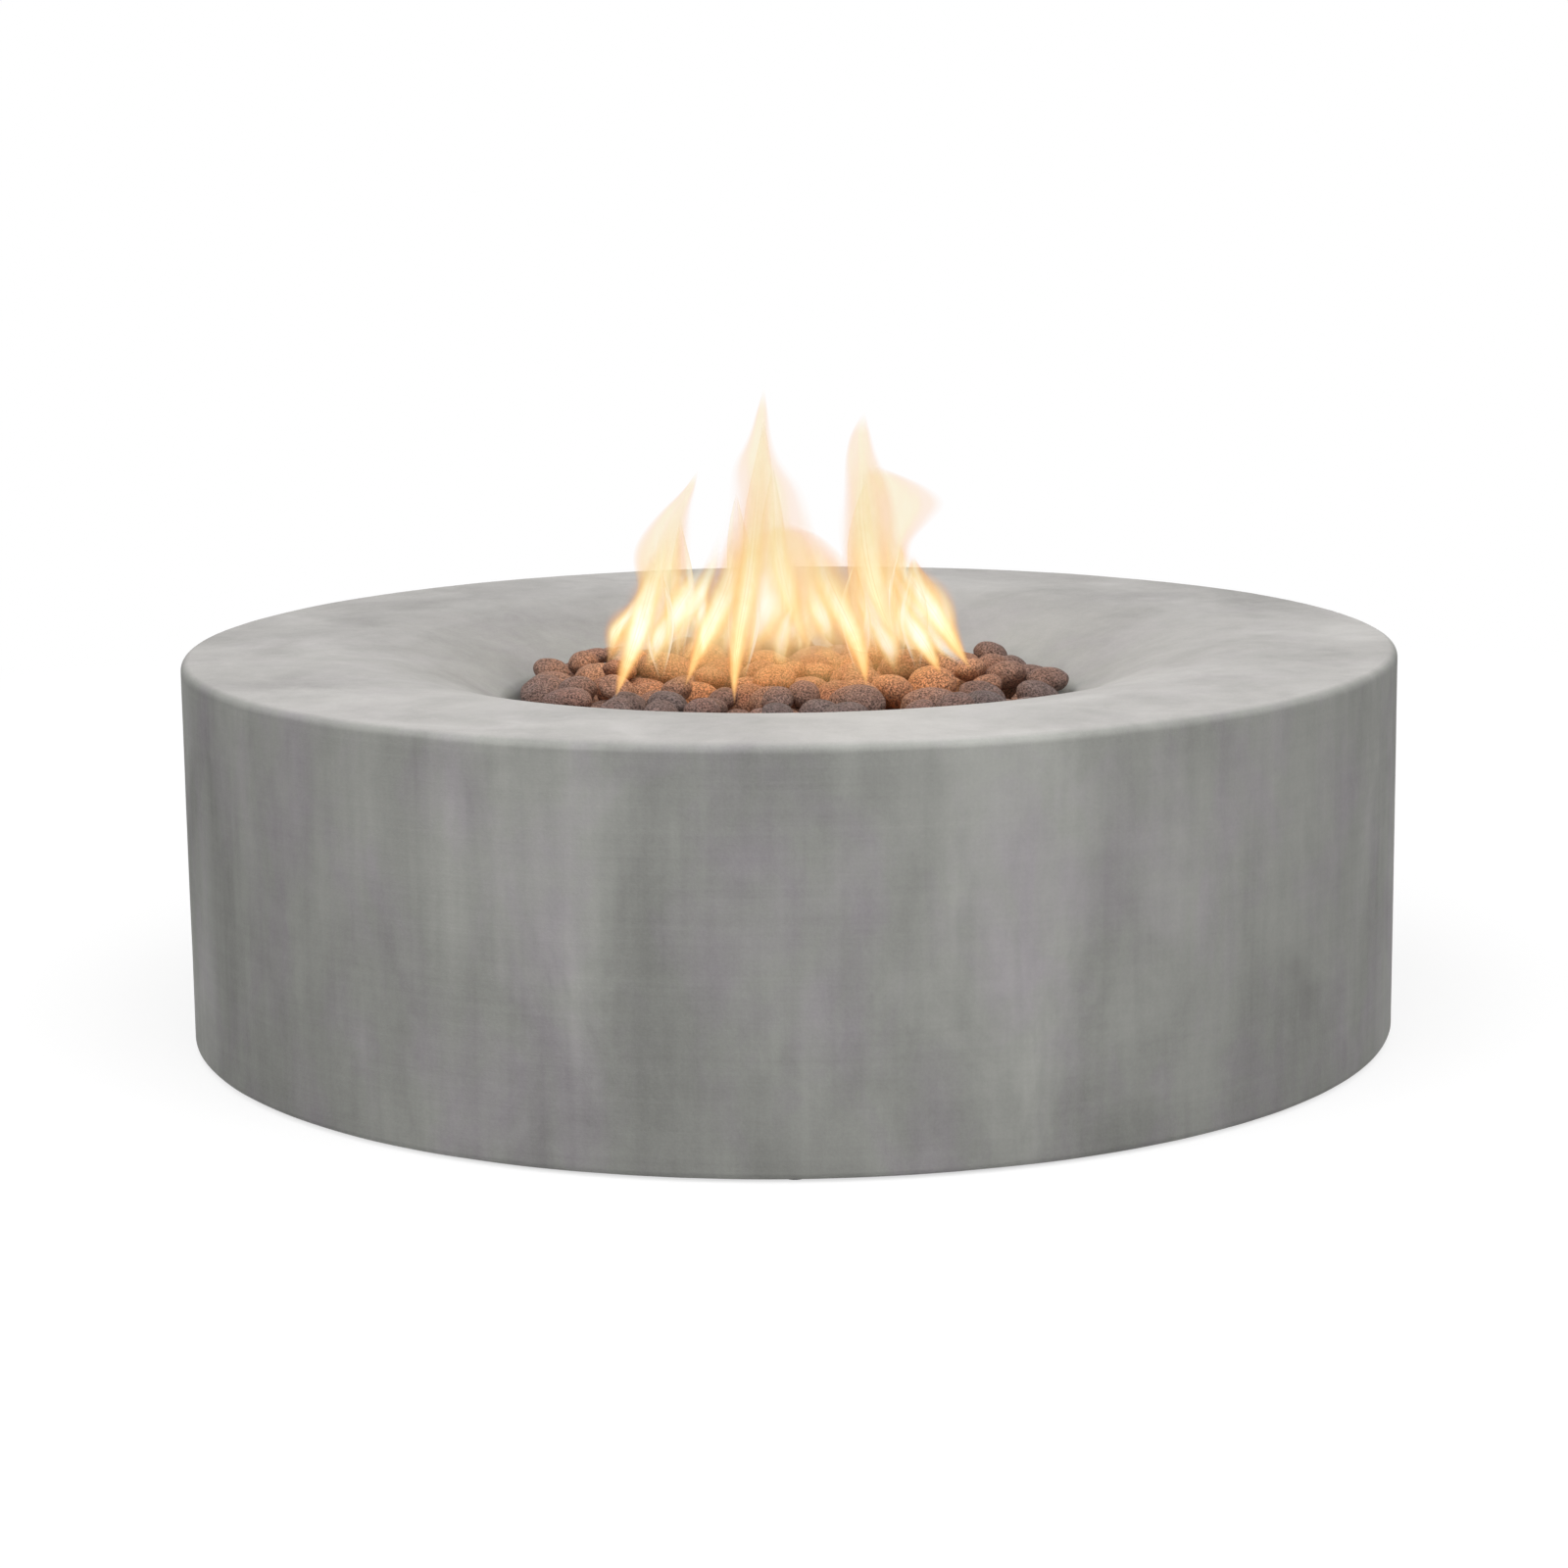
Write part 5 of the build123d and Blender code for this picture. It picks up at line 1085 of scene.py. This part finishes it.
def ribbon(points, foot_y, top_y, width, bulge, turn_deg=0.0, pivot=(0.0, 0.0), deep=False):
    """Narrow strand along a middle line, pointed at both ends, flat to the front or standing in the depth."""
    points = np.array(points, dtype=float)
    gone = np.concatenate([[0], np.cumsum(np.hypot(*np.diff(points, axis=0).T))])
    share = np.linspace(0, 1, ALONG + 1)
    across, height = [
        eased_line(np.interp(share * gone[-1], gone, column), passes=3, reach=4) for column in points.T
    ]
    y = foot_y + (top_y - foot_y) * share
    x, z = at_depth(across, height, y)
    middle = np.stack([x, y, z], axis=1)
    way = np.gradient(middle, axis=0)
    out = np.stack([way[:, 2], np.zeros(len(x)), -way[:, 0]], axis=1)
    if deep:
        out = np.cross(out, way)
    out /= np.linalg.norm(out, axis=1, keepdims=True)
    half = width / 2 * np.clip(np.sin(np.pi * share**1.12), 0, 1) + BLUNT
    spin = np.array(Matrix.Rotation(math.radians(turn_deg), 3, "Z"))
    centre = np.array([*pivot, 0.0])
    edges = [(middle + side * out * half[:, None] - centre) @ spin.T + centre for side in (-1, 1)]
    return skin(*edges, bulge)


def ring_strands(rng):
    """Strands round the sides and the back, leaning in towards the middle."""
    made = []
    for index in range(RING_COUNT):
        even = RING_START_DEG + index * RING_SWEEP_DEG / (RING_COUNT - 1)
        angle = math.radians(even + rng.uniform(-RING_STRAY_DEG, RING_STRAY_DEG))
        out = rng.uniform(*RING_OUT)
        foot = np.array([out * math.cos(angle), out * math.sin(angle)])
        tall = rng.uniform(*RING_TALL) * (1.2 - 0.45 * out / RING_OUT[1])
        lean = rng.uniform(*RING_LEAN_SHARES) * out
        sway = rng.uniform(-RING_SWAY, RING_SWAY)
        steps = ((0, 0), (0.25 * lean + sway, 0.3 * tall), (0.6 * lean - sway, 0.68 * tall), (lean, tall))
        line = [(foot[0] + across, RING_FOOT_Z + up) for across, up in steps]
        turn = math.degrees(angle) + 180 + rng.uniform(-RING_TURN_DEG, RING_TURN_DEG)
        width = rng.uniform(*RING_WIDTH)
        made.append(ribbon(line, foot[1], foot[1], width, RING_BULGE, turn, foot))
    return made


def cross_sheet(x, y, height, width, lean, turn_deg):
    """Leaf-shaped sheet on its foot, turned about it."""
    share = np.linspace(0, 1, ALONG + 1)
    below = 0.12 + 0.88 * np.sin(share * np.pi) ** 1.3
    above = np.cos((share - 0.5) * np.pi) ** 1.15
    size = np.maximum(np.where(share < 0.5, below, above), 0.004)
    spin = math.radians(turn_deg)
    middle = lean * share**1.4 + 6 * np.sin(share * 7 + x)
    up = CROSS_FOOT_Z + height * share
    lines = []
    for side in (-1, 1):
        along = middle + side * size * width / 2
        lines.append(np.stack([x + along * math.cos(spin), y + along * math.sin(spin), up], axis=1))
    return skin(*lines, CROSS_BULGE)


def strand_fire(u, v, low, lick, foot_share):
    """Heat, veil and power on a strand, brightest along its middle and near the bed."""
    core = ease(np.abs(u) + 0.5 * (lick - 0.5), 0.9, 0.0)
    edge = ease(np.abs(u), 1.0, 0.2)
    ends = ease(v, 0.0, 1.5 * foot_share) * ease(v, 1.0, 0.4)
    veil = ends * (0.14 * edge + (0.26 + 0.32 * low) * core)
    heat = 0.06 + core * (0.60 + 0.38 * low) * (0.2 + 0.8 * ease(v, 0.0, 0.5))
    return heat, veil, 0.94 + 0.12 * low + 0.24 * low * core


def sheet_fire(u, v, low, lick, foot_share):
    """Heat, veil and power on a broad sheet, paler towards its edges and its top."""
    core = ease(np.abs(u) + 1.0 * (lick - 0.5), 0.8, 0.0)
    edge = ease(np.abs(u) + 0.3 * (lick - 0.5), 1.0, 0.68)
    ends = ease(v, 0.0, foot_share) * ease(v, 1.0, 0.9)
    veil = ends * edge * (0.14 + 0.21 * core + 0.42 * low)
    heat = 0.16 + 0.22 * low + core * (0.54 + 0.20 * low)
    return heat, veil, 0.94 + 0.14 * low


def haze_fire(u, v, low, lick, least_heat, most_veil):
    """Heat, veil and power on a haze, thin everywhere and gone at its edges."""
    ends = ease(v, 0.0, 0.35) * ease(v, 1.0, 0.5)
    veil = ends * ease(np.abs(u), 1.0, 0.4) * (most_veil + 0.2 * lick)
    return least_heat + 0.35 * lick, veil, np.full(len(u), 0.95)


def all_flames():
    """Each sheet and strand with the function for its fire and that function's settings."""
    made = [(sheet_between(*row), sheet_fire, (SHEET_FOOT_SHARE,)) for row in SHEETS]
    made += [(cross_sheet(*row), sheet_fire, (CROSS_FOOT_SHARE,)) for row in CROSS_SHEETS]
    # Hazes, glowing gas that also lays painted firelight over the stones.
    made += [(sheet_between(*row), haze_fire, (heat, veil)) for *row, heat, veil in FIRELIGHT_HAZES]
    for line, foot_y, top_y, width, foot_share in STRANDS:
        flat = ribbon(line, foot_y, top_y, STRAND_SWELL * width, STRAND_BULGE)
        twin = ribbon(line, foot_y, top_y, TWIN_SWELL * width, TWIN_BULGE, deep=True)
        made += [(piece, strand_fire, (foot_share,)) for piece in (flat, twin)]
    rng = random.Random(FLAME_SEED)
    made += [(strand, strand_fire, (RING_FOOT_SHARE,)) for strand in ring_strands(rng)]
    return made


def build_flames():
    verts, faces, heats, veils, powers = [], [], [], [], []
    total = 0
    for number, ((points, quads, u, v), fire, settings) in enumerate(all_flames()):
        wavy = [u * 2.4 + number * 7.3, v * 2.2 + number * 3.1, np.full(len(u), number * 1.9)]
        lick = cloud(np.stack(wavy, axis=1), LICK_SEED)
        low = 1 - ease(points[:, 2], HOT_BELOW, COOL_ABOVE)
        heat, veil, power = fire(u, v, low, lick, *settings)
        verts.append(points)
        faces += [[i + total for i in quad] for quad in quads]
        total += len(points)
        heats.append(heat)
        veils.append(np.clip(veil, 0, MOST_VEIL))
        powers.append(power)
    piece = add_piece("flame_tongues", np.concatenate(verts), faces, "flame")
    add_value(piece, "glow", heats)
    add_value(piece, "veil", veils)
    add_value(piece, "power", powers)
    piece.visible_shadow = False
    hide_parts("flames")
    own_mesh(piece)


build_flames()


# Stage: a white floor and backdrop, a soft light overhead, two in front and a weak one behind.
PAPER = (0.56, 0.56, 0.56, 1)
WHITE = (1, 1, 1, 1)
FLOOR_REACH = 14
FLOOR_FADE = (0.6, 2.4)
NEAR_SHARE, NEAR_GLOW = 0.60, 1.36
UNDER_EDGE = (0.50, 0.53)
WORLD_FILL, WORLD_SEEN = 0.23, 1.0

# Lamps: name, place, aim, width and height, watts.
LAMPS = [
    ("roof", (0, -0.95, 2.7), (0, -0.15, 0.3), (2.6, 1.8), 64),
    ("front_left", (-0.8, -4.0, 1.7), (0, 0, 0.15), (2.0, 1.6), 15),
    ("front_right", (0.8, -4.0, 1.7), (0, 0, 0.15), (2.0, 1.6), 11.5),
    ("back", (0, 4.0, 1.7), (0, 0, 0.15), (3.0, 1.6), 14),
]


def seen_directly(tree):
    """One for rays from the camera, for mirror rays and for rays through glass, and zero for the rest."""
    path = tree.add("ShaderNodeLightPath")
    seen = path.outputs["Is Camera Ray"]
    for kind in ("Is Glossy Ray", "Is Transmission Ray"):
        seen = tree.calc(seen, path.outputs[kind], "MAXIMUM")
    return seen


def stage_look():
    """Pale paper that takes the object's shadow near by, turns white with distance and is plain under it."""
    mat = bpy.data.materials.new("stage_white")
    tree = NodeTree(mat)
    away = tree.length(tree.place())
    share = tree.calc(seen_directly(tree), tree.span(away, *FLOOR_FADE, NEAR_SHARE, 1.0), "MULTIPLY")
    share = tree.calc(share, tree.span(away, *UNDER_EDGE), "MULTIPLY")
    paper = tree.add("ShaderNodeBsdfDiffuse")
    paper.inputs["Color"].default_value = PAPER
    white = tree.add("ShaderNodeEmission")
    tree.join(tree.span(away, *FLOOR_FADE, NEAR_GLOW, 1.0), white.inputs["Strength"])
    tree.show("ShaderNodeOutputMaterial", tree.blend(share, paper.outputs[0], white.outputs[0]))
    return mat


def make_floor():
    reach = FLOOR_REACH
    mesh = bpy.data.meshes.new("floor")
    corners = [(-reach, -reach, 0), (reach, -reach, 0), (reach, reach, 0), (-reach, reach, 0)]
    mesh.from_pydata(corners, [], [(0, 1, 2, 3)])
    mesh.materials.append(stage_look())
    floor = bpy.data.objects.new("floor", mesh)
    scene.collection.objects.link(floor)


def make_world():
    scene.world = bpy.data.worlds.new("studio")
    tree = NodeTree(scene.world)
    shades = []
    for strength in (WORLD_FILL, WORLD_SEEN):
        shade = tree.add("ShaderNodeBackground")
        shade.inputs["Color"].default_value = WHITE
        shade.inputs["Strength"].default_value = strength
        shades.append(shade.outputs[0])
    tree.show("ShaderNodeOutputWorld", tree.blend(seen_directly(tree), *shades))


def soft_light(name, place, aim, size, power):
    data = bpy.data.lights.new(name, "AREA")
    data.shape = "RECTANGLE"
    data.size, data.size_y = size
    data.energy = power
    lamp = bpy.data.objects.new(name, data)
    scene.collection.objects.link(lamp)
    lamp.location = place
    lamp.rotation_euler = (Vector(aim) - Vector(place)).to_track_quat("-Z", "Y").to_euler()


make_floor()
make_world()
for lamp_row in LAMPS:
    soft_light(*lamp_row)


# Camera, placed where the photo was taken from.
SENSOR_MM = 36
LENS_MM = 84.74
LENS_SHIFT = -0.0041
DOWN_DEG = 10.53
ROLL_DEG = -0.67


def make_camera():
    lens = bpy.data.cameras.new("camera")
    lens.sensor_width = SENSOR_MM
    lens.lens = LENS_MM
    lens.shift_x = LENS_SHIFT
    camera = bpy.data.objects.new("camera", lens)
    scene.collection.objects.link(camera)
    pitch = Matrix.Rotation(math.radians(90 - DOWN_DEG), 4, "X")
    roll = Matrix.Rotation(math.radians(ROLL_DEG), 4, "Z")
    camera.matrix_world = Matrix.Translation((0, -EYE_BACK / MM_PER_M, EYE_UP / MM_PER_M)) @ pitch @ roll
    scene.camera = camera


make_camera()
scene.view_settings.view_transform = "Standard"
scene.cycles.transparent_max_bounces = 48
